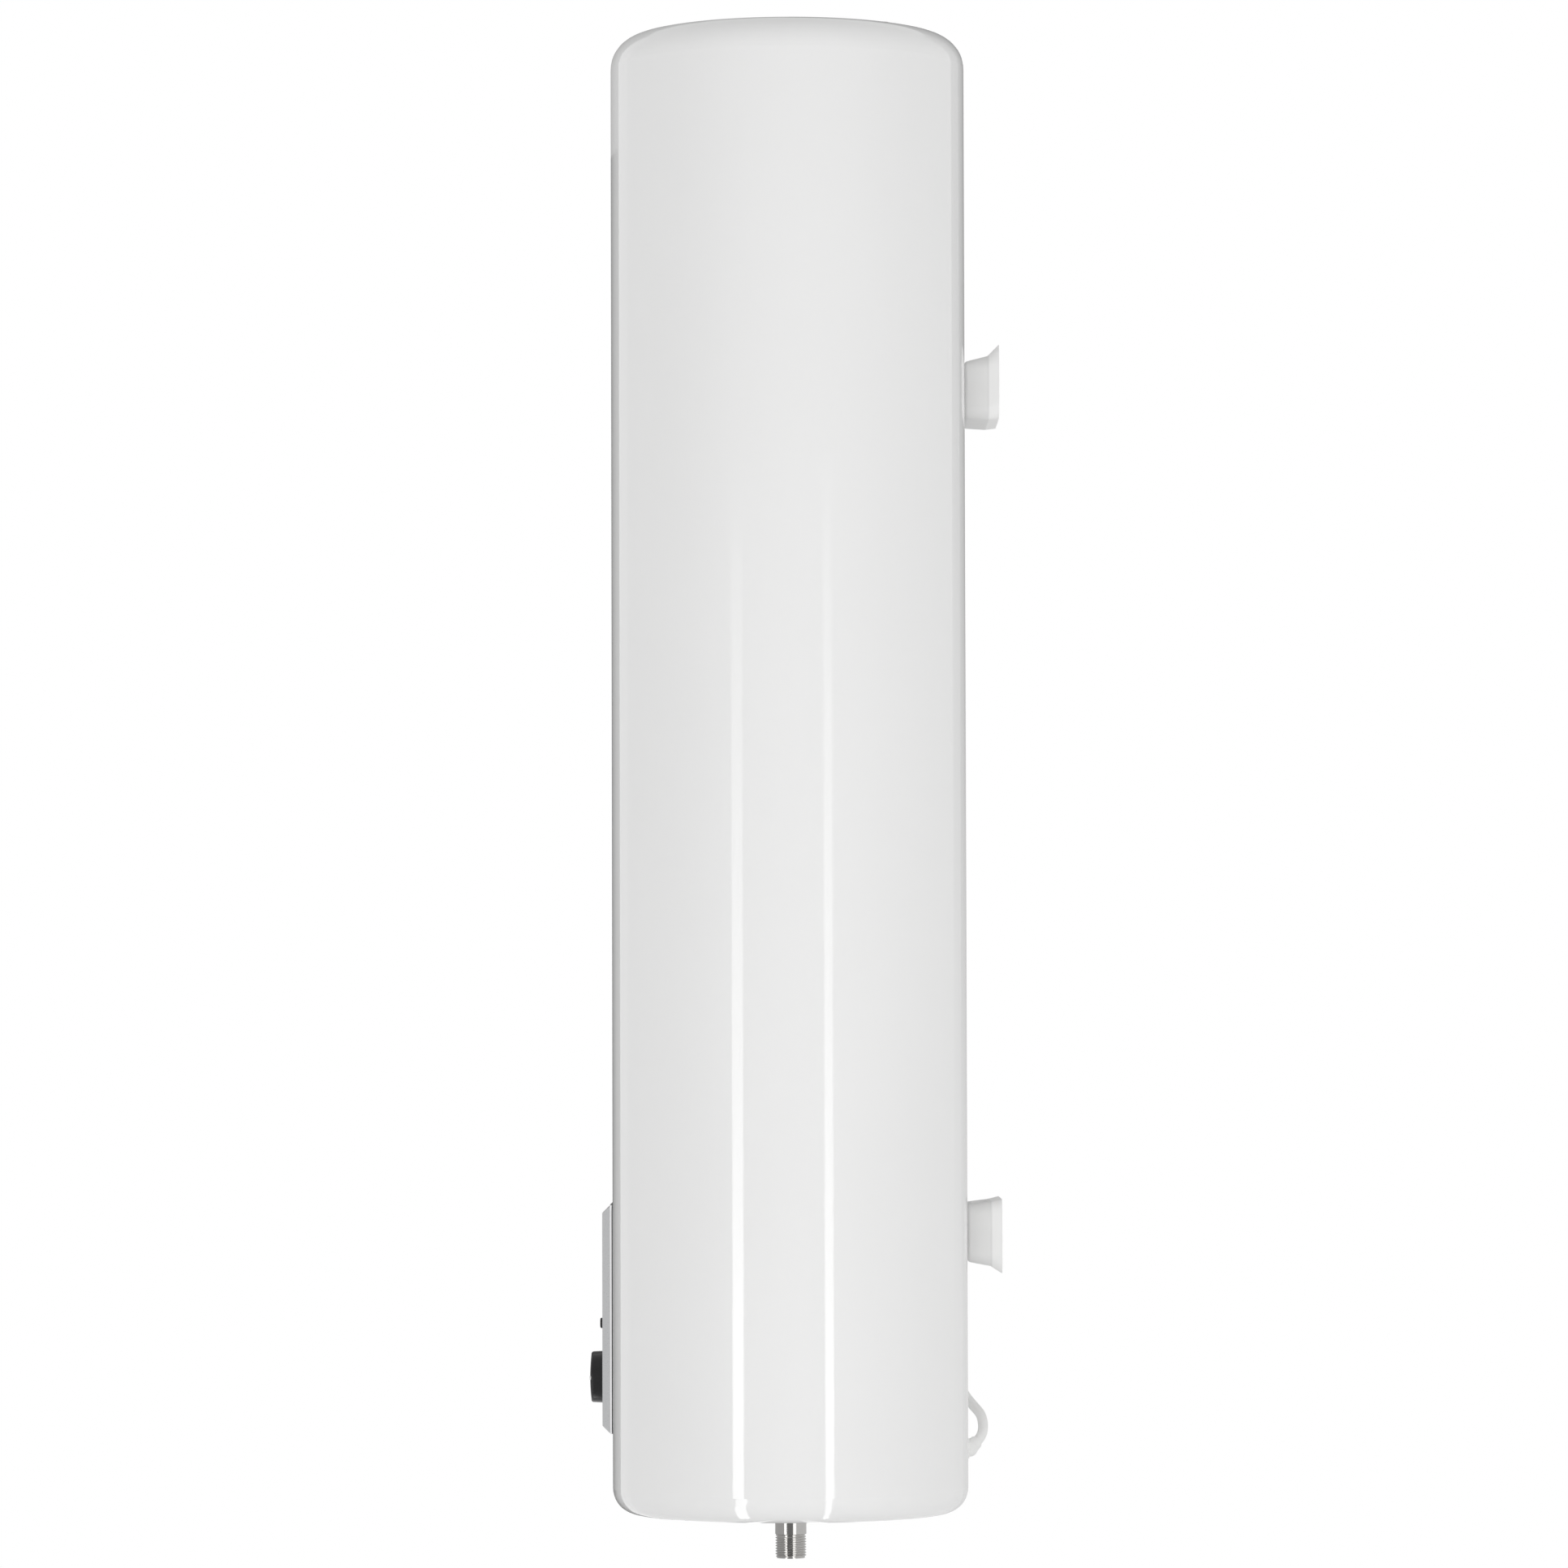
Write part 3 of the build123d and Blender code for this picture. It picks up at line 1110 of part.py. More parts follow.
# Tie: a band round the bundle on the coil's front side
inner_turn_r = COIL_R - (1 + TIE_TURN) * COIL_PITCH
outer_turn_r = COIL_R - TIE_TURN * COIL_PITCH
tie_width = outer_turn_r - inner_turn_r + 2 * (CORD_R + TIE_GAP)
tie_height = coil_rise + 2 * (CORD_R + TIE_GAP)
tie_middle = coil_centre + Vector(-TIE_W / 2, -(inner_turn_r + outer_turn_r) / 2, coil_rise / 2)
with BuildPart() as cord_tie:
    with BuildSketch(Plane(tie_middle, x_dir=(0, 1, 0), z_dir=(1, 0, 0))):
        RectangleRounded(tie_width + 2 * TIE_T, tie_height + 2 * TIE_T, CORD_R)
        RectangleRounded(tie_width, tie_height, CORD_R - TIE_T, mode=Mode.SUBTRACT)
    extrude(amount=TIE_W)
save(cord_tie.part, "cord_tie")

# Plug: a tapered relief, a round body with side grips, and two pins
plug_axis = Plane(tail_points[-1], x_dir=(-1, 0, 0), z_dir=(0, 1, 0))
with BuildPart() as plug_body:
    with BuildSketch(plug_axis):
        Circle(PLUG_RELIEF_R)
    with BuildSketch(plug_axis.offset(PLUG_RELIEF_L)):
        Circle(PLUG_NECK_R)
    loft()
    with BuildSketch(plug_axis.offset(PLUG_RELIEF_L)):
        Circle(PLUG_R)
    extrude(amount=PLUG_L)
    fillet(plug_body.edges().filter_by(GeomType.CIRCLE).group_by(SortBy.RADIUS)[-1], PLUG_EDGE_R)
    with BuildSketch(plug_axis.offset(PLUG_RELIEF_L + PLUG_L)):
        with GridLocations(2 * PLUG_R, 0, 2, 1):
            Rectangle(2 * PLUG_SIDE_CUT, PLUG_SIDE_W)
    extrude(amount=-PLUG_SIDE_L, mode=Mode.SUBTRACT)
    with BuildSketch(plug_axis.offset(PLUG_RELIEF_L + PLUG_L)):
        with GridLocations(PLUG_PIN_PITCH, 0, 2, 1):
            Circle(PLUG_PIN_R + WELD_GAP)
    extrude(amount=-PLUG_PIN_SOCKET, mode=Mode.SUBTRACT)
save(plug_body.part, "plug_body")

with BuildPart() as plug_pins:
    with BuildSketch(plug_axis.offset(PLUG_RELIEF_L + PLUG_L - PLUG_PIN_SOCKET)):
        with GridLocations(PLUG_PIN_PITCH, 0, 2, 1):
            Circle(PLUG_PIN_R)
    extrude(amount=PLUG_PIN_SOCKET + PLUG_PIN_L)
    fillet(plug_pins.edges().group_by(Axis.Y)[-1], PLUG_PIN_R / 2)
save(plug_pins.part, "plug_pins")
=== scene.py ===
"""A flat, wall-hung tank water heater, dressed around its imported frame.

Everything is in metres in the frame's own axes: the front faces -Y, the wall is Y = 0 and Z points up.
"""

import logging
import math
from dataclasses import dataclass
from enum import Enum
from typing import Any, Sequence

import bmesh
import bpy
from mathutils import Matrix, Vector


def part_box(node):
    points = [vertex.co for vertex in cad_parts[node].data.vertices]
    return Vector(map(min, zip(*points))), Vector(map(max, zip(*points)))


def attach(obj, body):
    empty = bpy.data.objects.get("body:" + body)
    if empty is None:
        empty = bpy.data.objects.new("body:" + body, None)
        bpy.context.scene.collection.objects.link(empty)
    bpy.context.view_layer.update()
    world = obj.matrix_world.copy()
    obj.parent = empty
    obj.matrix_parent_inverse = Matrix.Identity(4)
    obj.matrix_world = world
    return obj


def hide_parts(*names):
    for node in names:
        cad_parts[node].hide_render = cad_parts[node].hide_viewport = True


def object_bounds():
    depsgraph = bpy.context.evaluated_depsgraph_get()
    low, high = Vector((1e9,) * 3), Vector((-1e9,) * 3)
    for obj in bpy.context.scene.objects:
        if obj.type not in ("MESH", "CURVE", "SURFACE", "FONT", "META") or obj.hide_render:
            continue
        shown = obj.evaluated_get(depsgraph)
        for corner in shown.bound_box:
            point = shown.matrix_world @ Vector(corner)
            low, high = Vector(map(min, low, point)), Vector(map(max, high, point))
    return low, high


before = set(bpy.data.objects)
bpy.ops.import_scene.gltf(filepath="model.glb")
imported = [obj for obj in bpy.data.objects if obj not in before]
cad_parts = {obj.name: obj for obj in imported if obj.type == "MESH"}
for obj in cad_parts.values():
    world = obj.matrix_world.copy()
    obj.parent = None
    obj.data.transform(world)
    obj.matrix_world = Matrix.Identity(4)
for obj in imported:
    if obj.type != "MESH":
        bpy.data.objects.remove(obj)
CAD_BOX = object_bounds()

LOG = logging.getLogger("heater")
MM = 0.001
FIXED_BODY = "heater"

# The jacket's middle plane, from the wall.
BODY_Y = -0.145

# Points nearer than this are merged.
WELD = 1e-6
WHITE = (1.0, 1.0, 1.0, 1.0)

Colour = tuple[float, float, float]
Point = tuple[float, float, float]
Pair = tuple[float, float]


class Axis(Enum):
    """Direction in which a metal was brushed or drawn."""

    ACROSS = (1.0, 0.02, 0.02)
    UPRIGHT = (0.02, 0.02, 1.0)


class Boolean(Enum):
    """How closed pieces are brought together."""

    UNION = "UNION"
    DIFFERENCE = "DIFFERENCE"


class Wire:
    """A node's output that takes part in Python arithmetic."""

    def __init__(self, graph: "Graph", socket: bpy.types.NodeSocket) -> None:
        """Remember which graph the output belongs to."""
        self.graph = graph
        self.socket = socket

    def _math(self, operation: str, first: Any, second: Any) -> "Wire":
        """Add one Math node."""
        return self.graph.make("ShaderNodeMath", {"operation": operation}, {0: first, 1: second})

    def __add__(self, other: Any) -> "Wire":
        """Sum."""
        return self._math("ADD", self, other)

    __radd__ = __add__

    def __sub__(self, other: Any) -> "Wire":
        """Difference."""
        return self._math("SUBTRACT", self, other)

    def __rsub__(self, other: Any) -> "Wire":
        """Difference, taken from the other value."""
        return self._math("SUBTRACT", other, self)

    def __mul__(self, other: Any) -> "Wire":
        """Product."""
        return self._math("MULTIPLY", self, other)

    __rmul__ = __mul__

    def __truediv__(self, other: Any) -> "Wire":
        """Quotient."""
        return self._math("DIVIDE", self, other)

    def __mod__(self, other: Any) -> "Wire":
        """Remainder, never negative."""
        return self._math("FLOORED_MODULO", self, other)

    def __abs__(self) -> "Wire":
        """Size without sign."""
        return self._math("ABSOLUTE", self, 0.0)

    def least(self, other: Any) -> "Wire":
        """The smaller of two values."""
        return self._math("MINIMUM", self, other)

    def most(self, other: Any) -> "Wire":
        """The larger of two values."""
        return self._math("MAXIMUM", self, other)

    def cosine(self) -> "Wire":
        """Cosine of an angle in radians."""
        return self._math("COSINE", self, 0.0)

    def sine(self) -> "Wire":
        """Sine of an angle in radians."""
        return self._math("SINE", self, 0.0)

    def clamped(self) -> "Wire":
        """The value held between nought and one."""
        return self.most(0.0).least(1.0)


class Graph:
    """A node tree that is built by calls."""

    def __init__(self, tree: bpy.types.NodeTree) -> None:
        """Wrap an empty or existing tree."""
        self.tree = tree

    def plug(self, socket: bpy.types.NodeSocket, value: Any) -> None:
        """Link an output to a socket, or set the socket's own value.

        Args:
            socket: The input to feed.
            value: A wire to link, or a plain value.
        """
        if isinstance(value, Wire):
            self.tree.links.new(value.socket, socket)
        else:
            socket.default_value = value

    def make(
        self,
        kind: str,
        settings: dict[str, Any] | None = None,
        sockets: dict[Any, Any] | None = None,
        output: int | str = 0,
    ) -> Wire:
        """Add a node.

        Args:
            kind: The node's type.
            settings: Properties of the node, set first; "stops" holds a ramp's places and colours.
            sockets: Values or wires for its inputs, by name or number.
            output: Which output to hand back.

        Returns:
            The chosen output.
        """
        node = self.tree.nodes.new(kind)
        for name, value in (settings or {}).items():
            if name == "stops":
                self._set_stops(node.color_ramp, value)
            else:
                setattr(node, name, value)
        for key, value in (sockets or {}).items():
            self.plug(node.inputs[key], value)
        return Wire(self, node.outputs[output])

    @staticmethod
    def _set_stops(ramp: bpy.types.ColorRamp, stops: Sequence[tuple[float, Sequence[float]]]) -> None:
        """Give a colour ramp its stops.

        Args:
            ramp: A new ramp.
            stops: The place and colour of each stop.
        """
        while len(ramp.elements) < len(stops):
            ramp.elements.new(1.0)
        for element, (place, colour) in zip(ramp.elements, stops):
            element.position = place
            element.color = (*colour, 1.0)


class Shading(Graph):
    """A material's tree around one Principled shader."""

    def __init__(self, material: bpy.types.Material) -> None:
        """Find the shader and the piece's own coordinates.

        Args:
            material: A new node material.
        """
        super().__init__(material.node_tree)
        self.shader = self.tree.nodes["Principled BSDF"]
        self.place = self.make("ShaderNodeTexCoord", output="Object")

    def set(self, **values: Any) -> None:
        """Set or link the shader's inputs, named with underscores for spaces."""
        for name, value in values.items():
            self.plug(self.shader.inputs[name.replace("_", " ")], value)

    def stretched(self, scale: Sequence[float]) -> Wire:
        """The piece's coordinates, drawn out by a factor on each axis."""
        return self.make("ShaderNodeMapping", sockets={"Vector": self.place, "Scale": scale})

    def noise(self, scale: float, detail: float = 2.0, place: Wire | None = None) -> Wire:
        """Soft noise of a given fineness in features a metre."""
        sockets = {"Vector": place or self.place, "Scale": scale, "Detail": detail}
        return self.make("ShaderNodeTexNoise", sockets=sockets)

    def cells(self, scale: float) -> Wire:
        """Distance to the nearest of scattered points."""
        return self.make("ShaderNodeTexVoronoi", sockets={"Vector": self.place, "Scale": scale})

    def shade(self, amount: Wire, low: Colour, high: Colour) -> Wire:
        """A colour between two by an amount from nought to one."""
        return self.make("ShaderNodeValToRGB", {"stops": [(0.0, low), (1.0, high)]}, {0: amount})

    def blend(self, amount: Wire, low: Wire, high: Wire) -> Wire:
        """A colour between two coloured outputs by an amount from nought to one."""
        # Inputs 6 and 7 and output 2 are the node's colour sockets.
        sockets = {"Factor": amount, 6: low, 7: high}
        return self.make("ShaderNodeMix", {"data_type": "RGBA"}, sockets, output=2)

    def relief(self, height: Wire, depth: float, strength: float = 1.0) -> None:
        """Raise the surface by a height map of a given depth in metres."""
        sockets = {"Height": height, "Distance": depth, "Strength": strength}
        self.set(Normal=self.make("ShaderNodeBump", sockets=sockets))


def tinted(colour: Colour, factor: float) -> Colour:
    """A colour made lighter or darker by a factor, held under white."""
    return tuple(min(1.0, part * factor) for part in colour)


@dataclass(frozen=True)
class Finish:
    """What every finish has: a name, a colour and a roughness."""

    name: str
    colour: Colour
    roughness: float

    def material(self) -> bpy.types.Material:
        """The finish's material, made on first use.

        Its label differs from the plain materials that come in with the frame.

        Returns:
            A node material for this finish.
        """
        label = f"{self.name}_finish"
        known = bpy.data.materials.get(label)
        if known:
            return known
        material = bpy.data.materials.new(label)
        material.use_nodes = True
        material.diffuse_color = (*self.colour, 1.0)
        self.paint(Shading(material))
        return material

    def toned(self, shading: Shading, amount: Wire, tones: Pair) -> Wire:
        """The finish's colour between two factors by an amount from nought to one."""
        low, high = (tinted(self.colour, factor) for factor in tones)
        return shading.shade(amount, low, high)

    def paint(self, shading: Shading) -> None:
        """Build the material's nodes."""
        raise NotImplementedError


@dataclass(frozen=True)
class Enamel(Finish):
    """Glossy stoved enamel with a faint orange peel."""

    cloud: float = 7.0
    tones: Pair = (0.985, 1.01)
    gloss_change: float = 0.02
    ior: float = 1.5
    peel: float = 170.0
    peel_depth: float = 0.012 * MM

    def paint(self, shading: Shading) -> None:
        """Clouded white, a hard gloss and long soft ripples.

        Args:
            shading: The material's tree.
        """
        clouds = shading.noise(self.cloud, detail=3.0)
        shading.set(
            Base_Color=self.toned(shading, clouds, self.tones),
            Roughness=self.roughness + clouds * self.gloss_change,
            IOR=self.ior,
        )
        shading.relief(shading.noise(self.peel, detail=1.0), self.peel_depth)


@dataclass(frozen=True)
class SheetPaint(Finish):
    """Satin paint on pressed sheet, with a fine powder grain and slightly worn tone."""

    grain: float = 1100.0
    grain_depth: float = 0.02 * MM
    metal: float = 0.0
    cloud: float = 16.0
    tones: Pair = (0.96, 1.03)
    gloss_change: float = 0.10

    def coat(self, shading: Shading) -> Wire:
        """The paint's colour over the sheet."""
        return self.toned(shading, shading.noise(self.cloud, detail=4.0), self.tones)

    def paint(self, shading: Shading) -> None:
        """Grained satin paint.

        Args:
            shading: The material's tree.
        """
        grain = shading.noise(self.grain)
        shading.set(
            Base_Color=self.coat(shading),
            Roughness=self.roughness + grain * self.gloss_change,
            Metallic=self.metal,
        )
        shading.relief(grain, self.grain_depth)


@dataclass(frozen=True)
class TrayPaint(SheetPaint):
    """Sheet paint with painted light: its flared lip is coloured paler, standing in for the brighter light
    that falls on the flare.
    """

    lip_start: float = -7.6 * MM
    lip_blend: float = 1.2 * MM
    lip_cloud: float = 60.0
    wall_tones: Pair = (0.97, 1.03)
    # Painted light: the lip's colour is raised above the paint's own, for the light that falls on the flare.
    painted_light_lip_tones: Pair = (1.176, 1.2)

    def coat(self, shading: Shading) -> Wire:
        """The paint's colour, with painted light that makes it paler past the bend.

        Args:
            shading: The material's tree.

        Returns:
            The colour over the whole tray.
        """
        depth = shading.make("ShaderNodeSeparateXYZ", sockets={0: shading.place}, output="Y")
        # Share of painted light, from the bend out over the flared lip.
        lip = ((depth - self.lip_start) / self.lip_blend).clamped()
        clouds = shading.noise(self.lip_cloud, detail=4.0)
        wall = self.toned(shading, clouds, self.wall_tones)
        return shading.blend(lip, wall, self.toned(shading, clouds, self.painted_light_lip_tones))


@dataclass(frozen=True)
class DrawnMetal(Finish):
    """Bare metal with streaks along the way it was brushed or drawn."""

    along: Axis = Axis.UPRIGHT
    streaks: float = 1400.0
    wear: float = 0.10
    stain: float = 45.0
    tones: Pair = (0.9, 1.06)
    scratch_depth: float = 0.008 * MM

    def paint(self, shading: Shading) -> None:
        """Streaked tone, roughness and relief.

        Args:
            shading: The material's tree.
        """
        streaks = shading.noise(self.streaks, detail=3.0, place=shading.stretched(self.along.value))
        stains = shading.noise(self.stain, detail=4.0)
        shading.set(
            Base_Color=self.toned(shading, stains, self.tones),
            Roughness=self.roughness + streaks * self.wear,
            Metallic=1.0,
        )
        shading.relief(streaks, self.scratch_depth)


@dataclass(frozen=True)
class Moulding(Finish):
    """Injection-moulded plastic with the fine grain of its tool."""

    grain: float = 2600.0
    grain_depth: float = 0.012 * MM
    ior: float = 1.46
    cloud: float = 30.0
    tones: Pair = (0.95, 1.05)
    gloss_change: float = 0.07

    def paint(self, shading: Shading) -> None:
        """Even colour with faint flow clouds and tool grain.

        Args:
            shading: The material's tree.
        """
        clouds = shading.noise(self.cloud, detail=3.0)
        grain = shading.noise(self.grain)
        shading.set(
            Base_Color=self.toned(shading, clouds, self.tones),
            Roughness=self.roughness + grain * self.gloss_change,
            IOR=self.ior,
        )
        shading.relief(grain, self.grain_depth)


@dataclass(frozen=True)
class SealRubber(Finish):
    """Black moulded rubber, dusty in its pores."""

    pore: float = 220.0
    pore_depth: float = 0.04 * MM
    tones: Pair = (0.7, 1.6)
    gloss_change: float = 0.15

    def paint(self, shading: Shading) -> None:
        """Dull black with a pale bloom.

        Args:
            shading: The material's tree.
        """
        bloom = shading.noise(self.pore, detail=5.0)
        shading.set(
            Base_Color=self.toned(shading, bloom, self.tones),
            Roughness=self.roughness + bloom * self.gloss_change,
        )
        shading.relief(bloom, self.pore_depth)


@dataclass(frozen=True)
class CastFoam(Finish):
    """Rigid foam with open cells on its skin."""

    cell: float = 420.0
    cell_depth: float = 0.4 * MM
    cloud: float = 12.0
    tones: Pair = (0.85, 1.08)
    gloss_change: float = 0.1

    def paint(self, shading: Shading) -> None:
        """Cells over slow changes of tone.

        Args:
            shading: The material's tree.
        """
        cells = shading.cells(self.cell)
        clouds = shading.noise(self.cloud, detail=4.0)
        shading.set(
            Base_Color=self.toned(shading, clouds, self.tones),
            Roughness=self.roughness + cells * self.gloss_change,
        )
        shading.relief(cells, self.cell_depth)


@dataclass(frozen=True)
class PilotLens(Finish):
    """Tinted lens with fine prisms moulded inside."""

    prism: float = 900.0
    prism_depth: float = 0.2 * MM
    prism_strength: float = 0.6
    tones: Pair = (0.6, 1.15)
    gloss_change: float = 0.04
    coat: float = 0.6

    def paint(self, shading: Shading) -> None:
        """Tinted gloss over a relief of prisms.

        Args:
            shading: The material's tree.
        """
        prisms = shading.cells(self.prism)
        shading.set(
            Base_Color=self.toned(shading, prisms, self.tones),
            Roughness=self.roughness + prisms * self.gloss_change,
            Coat_Weight=self.coat,
        )
        shading.relief(prisms, self.prism_depth, self.prism_strength)


ENAMEL = Enamel("white_enamel", (0.88, 0.88, 0.877), 0.035)
COVER_PLASTIC = Moulding("white_moulding", (0.76, 0.76, 0.75), 0.30)
# The tray's flared lip carries painted light, a paler colour for the light that falls on it.
TRAY_PAINT = TrayPaint("tray_paint", (0.79, 0.79, 0.785), 0.34)
STAINLESS = DrawnMetal("stainless", (0.70, 0.69, 0.675), 0.06)
ZINC = DrawnMetal("zinc_steel", (0.58, 0.59, 0.61), 0.24, Axis.ACROSS, streaks=900.0)
SEAL = SealRubber("black_rubber", (0.018, 0.018, 0.019), 0.62)
FOAM = CastFoam("rigid_foam", (0.72, 0.58, 0.30), 0.85)
PANEL_SILVER = SheetPaint(
    "panel_silver", (0.52, 0.523, 0.53), 0.24, grain=1600.0, grain_depth=0.004 * MM, metal=0.75
)
TRIM_BRIGHT = DrawnMetal("trim_bright", (0.86, 0.86, 0.87), 0.12, Axis.ACROSS, streaks=900.0)
PANEL_SHEET = DrawnMetal("panel_sheet", (0.42, 0.43, 0.45), 0.30, Axis.ACROSS, streaks=1800.0)
BLACK_GLOSS = Moulding(
    "black_gloss", (0.010, 0.010, 0.011), 0.14, grain=900.0, grain_depth=0.004 * MM, ior=1.34
)
MARK_WHITE = Moulding("mark_white", (0.80, 0.80, 0.79), 0.45)
AMBER = PilotLens("amber_lens", (0.75, 0.22, 0.02), 0.12)
ELEMENT = DrawnMetal("element_alloy", (0.22, 0.21, 0.20), 0.34)
MAGNESIUM = DrawnMetal("magnesium", (0.50, 0.51, 0.53), 0.46)
COPPER = DrawnMetal("copper", (0.66, 0.31, 0.17), 0.26, Axis.ACROSS)
BLACK_MOULDING = Moulding("black_moulding", (0.03, 0.03, 0.033), 0.45)
RESET_RED = Moulding("reset_red", (0.45, 0.02, 0.015), 0.28)
TERMINAL_IVORY = Moulding("terminal_ivory", (0.62, 0.55, 0.40), 0.42)
WIRE_BLUE = Moulding("wire_blue", (0.02, 0.05, 0.22), 0.35)
LEAD_PVC = Moulding("cord_white", (0.90, 0.90, 0.89), 0.38, grain=1500.0, grain_depth=0.02 * MM)
NICKEL = DrawnMetal("nickel_pin", (0.72, 0.70, 0.66), 0.10)

CAD_FINISHES: dict[Finish, tuple[str, ...]] = {
    ENAMEL: ("outer_shell",),
    COVER_PLASTIC: ("top_cover", "bottom_cover", "inlet_diffuser"),
    TRAY_PAINT: ("upper_bracket", "lower_bracket"),
    STAINLESS: (
        "inlet_tank", "outlet_tank", "transfer_pipe", "cold_inlet_stub", "hot_outlet_stub",
        "outlet_riser", "inlet_thermowell", "outlet_thermowell",
    ),
    ZINC: (
        "bottom_cover_screws", "upper_tank_strap", "lower_tank_strap", "bracket_bolts", "inlet_flange",
        "outlet_flange", "flange_nuts", "control_plate", "panel_screws", "thermostat_shaft",
    ),
    SEAL: (
        "upper_bracket_gasket", "lower_bracket_gasket", "flange_gaskets", "panel_gasket", "cord_tie",
    ),
    FOAM: ("insulation_foam",),
    PANEL_SILVER: ("panel_bezel",),
    PANEL_SHEET: ("panel_face",),
    BLACK_GLOSS: ("temperature_knob", "mode_button"),
    MARK_WHITE: ("knob_pointer",),
    AMBER: ("indicator_lens",),
    ELEMENT: ("inlet_heating_element", "outlet_heating_element"),
    MAGNESIUM: ("inlet_anode", "outlet_anode"),
    COPPER: ("capillary_tube",),
    BLACK_MOULDING: ("thermostat_body", "mode_switch", "indicator_lamp", "thermal_cutout"),
    RESET_RED: ("reset_button",),
    TERMINAL_IVORY: ("terminal_block",),
    WIRE_BLUE: ("wiring_harness",),
    LEAD_PVC: ("cord_gland", "gland_nut", "power_cord", "cord_coil", "cord_tail", "plug_body"),
    NICKEL: ("plug_pins",),
}


def dress(piece: bpy.types.Object, finish: Finish) -> None:
    """Give a piece one finish all over."""
    piece.data.materials.clear()
    piece.data.materials.append(finish.material())


def dress_frame() -> None:
    """Give every piece of the frame its finish."""
    for finish, names in CAD_FINISHES.items():
        for name in names:
            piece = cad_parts[name]
            for holder in piece.material_slots:
                holder.material = finish.material()
            LOG.info("%s: %s", name, finish.name)


def add_object(name: str, data: Any) -> bpy.types.Object:
    """Put a mesh, curve, lamp or camera into the scene at the origin.

    Args:
        name: The object's name.
        data: What it shows.

    Returns:
        The new object.
    """
    piece = bpy.data.objects.new(name, data)
    bpy.context.scene.collection.objects.link(piece)
    return piece


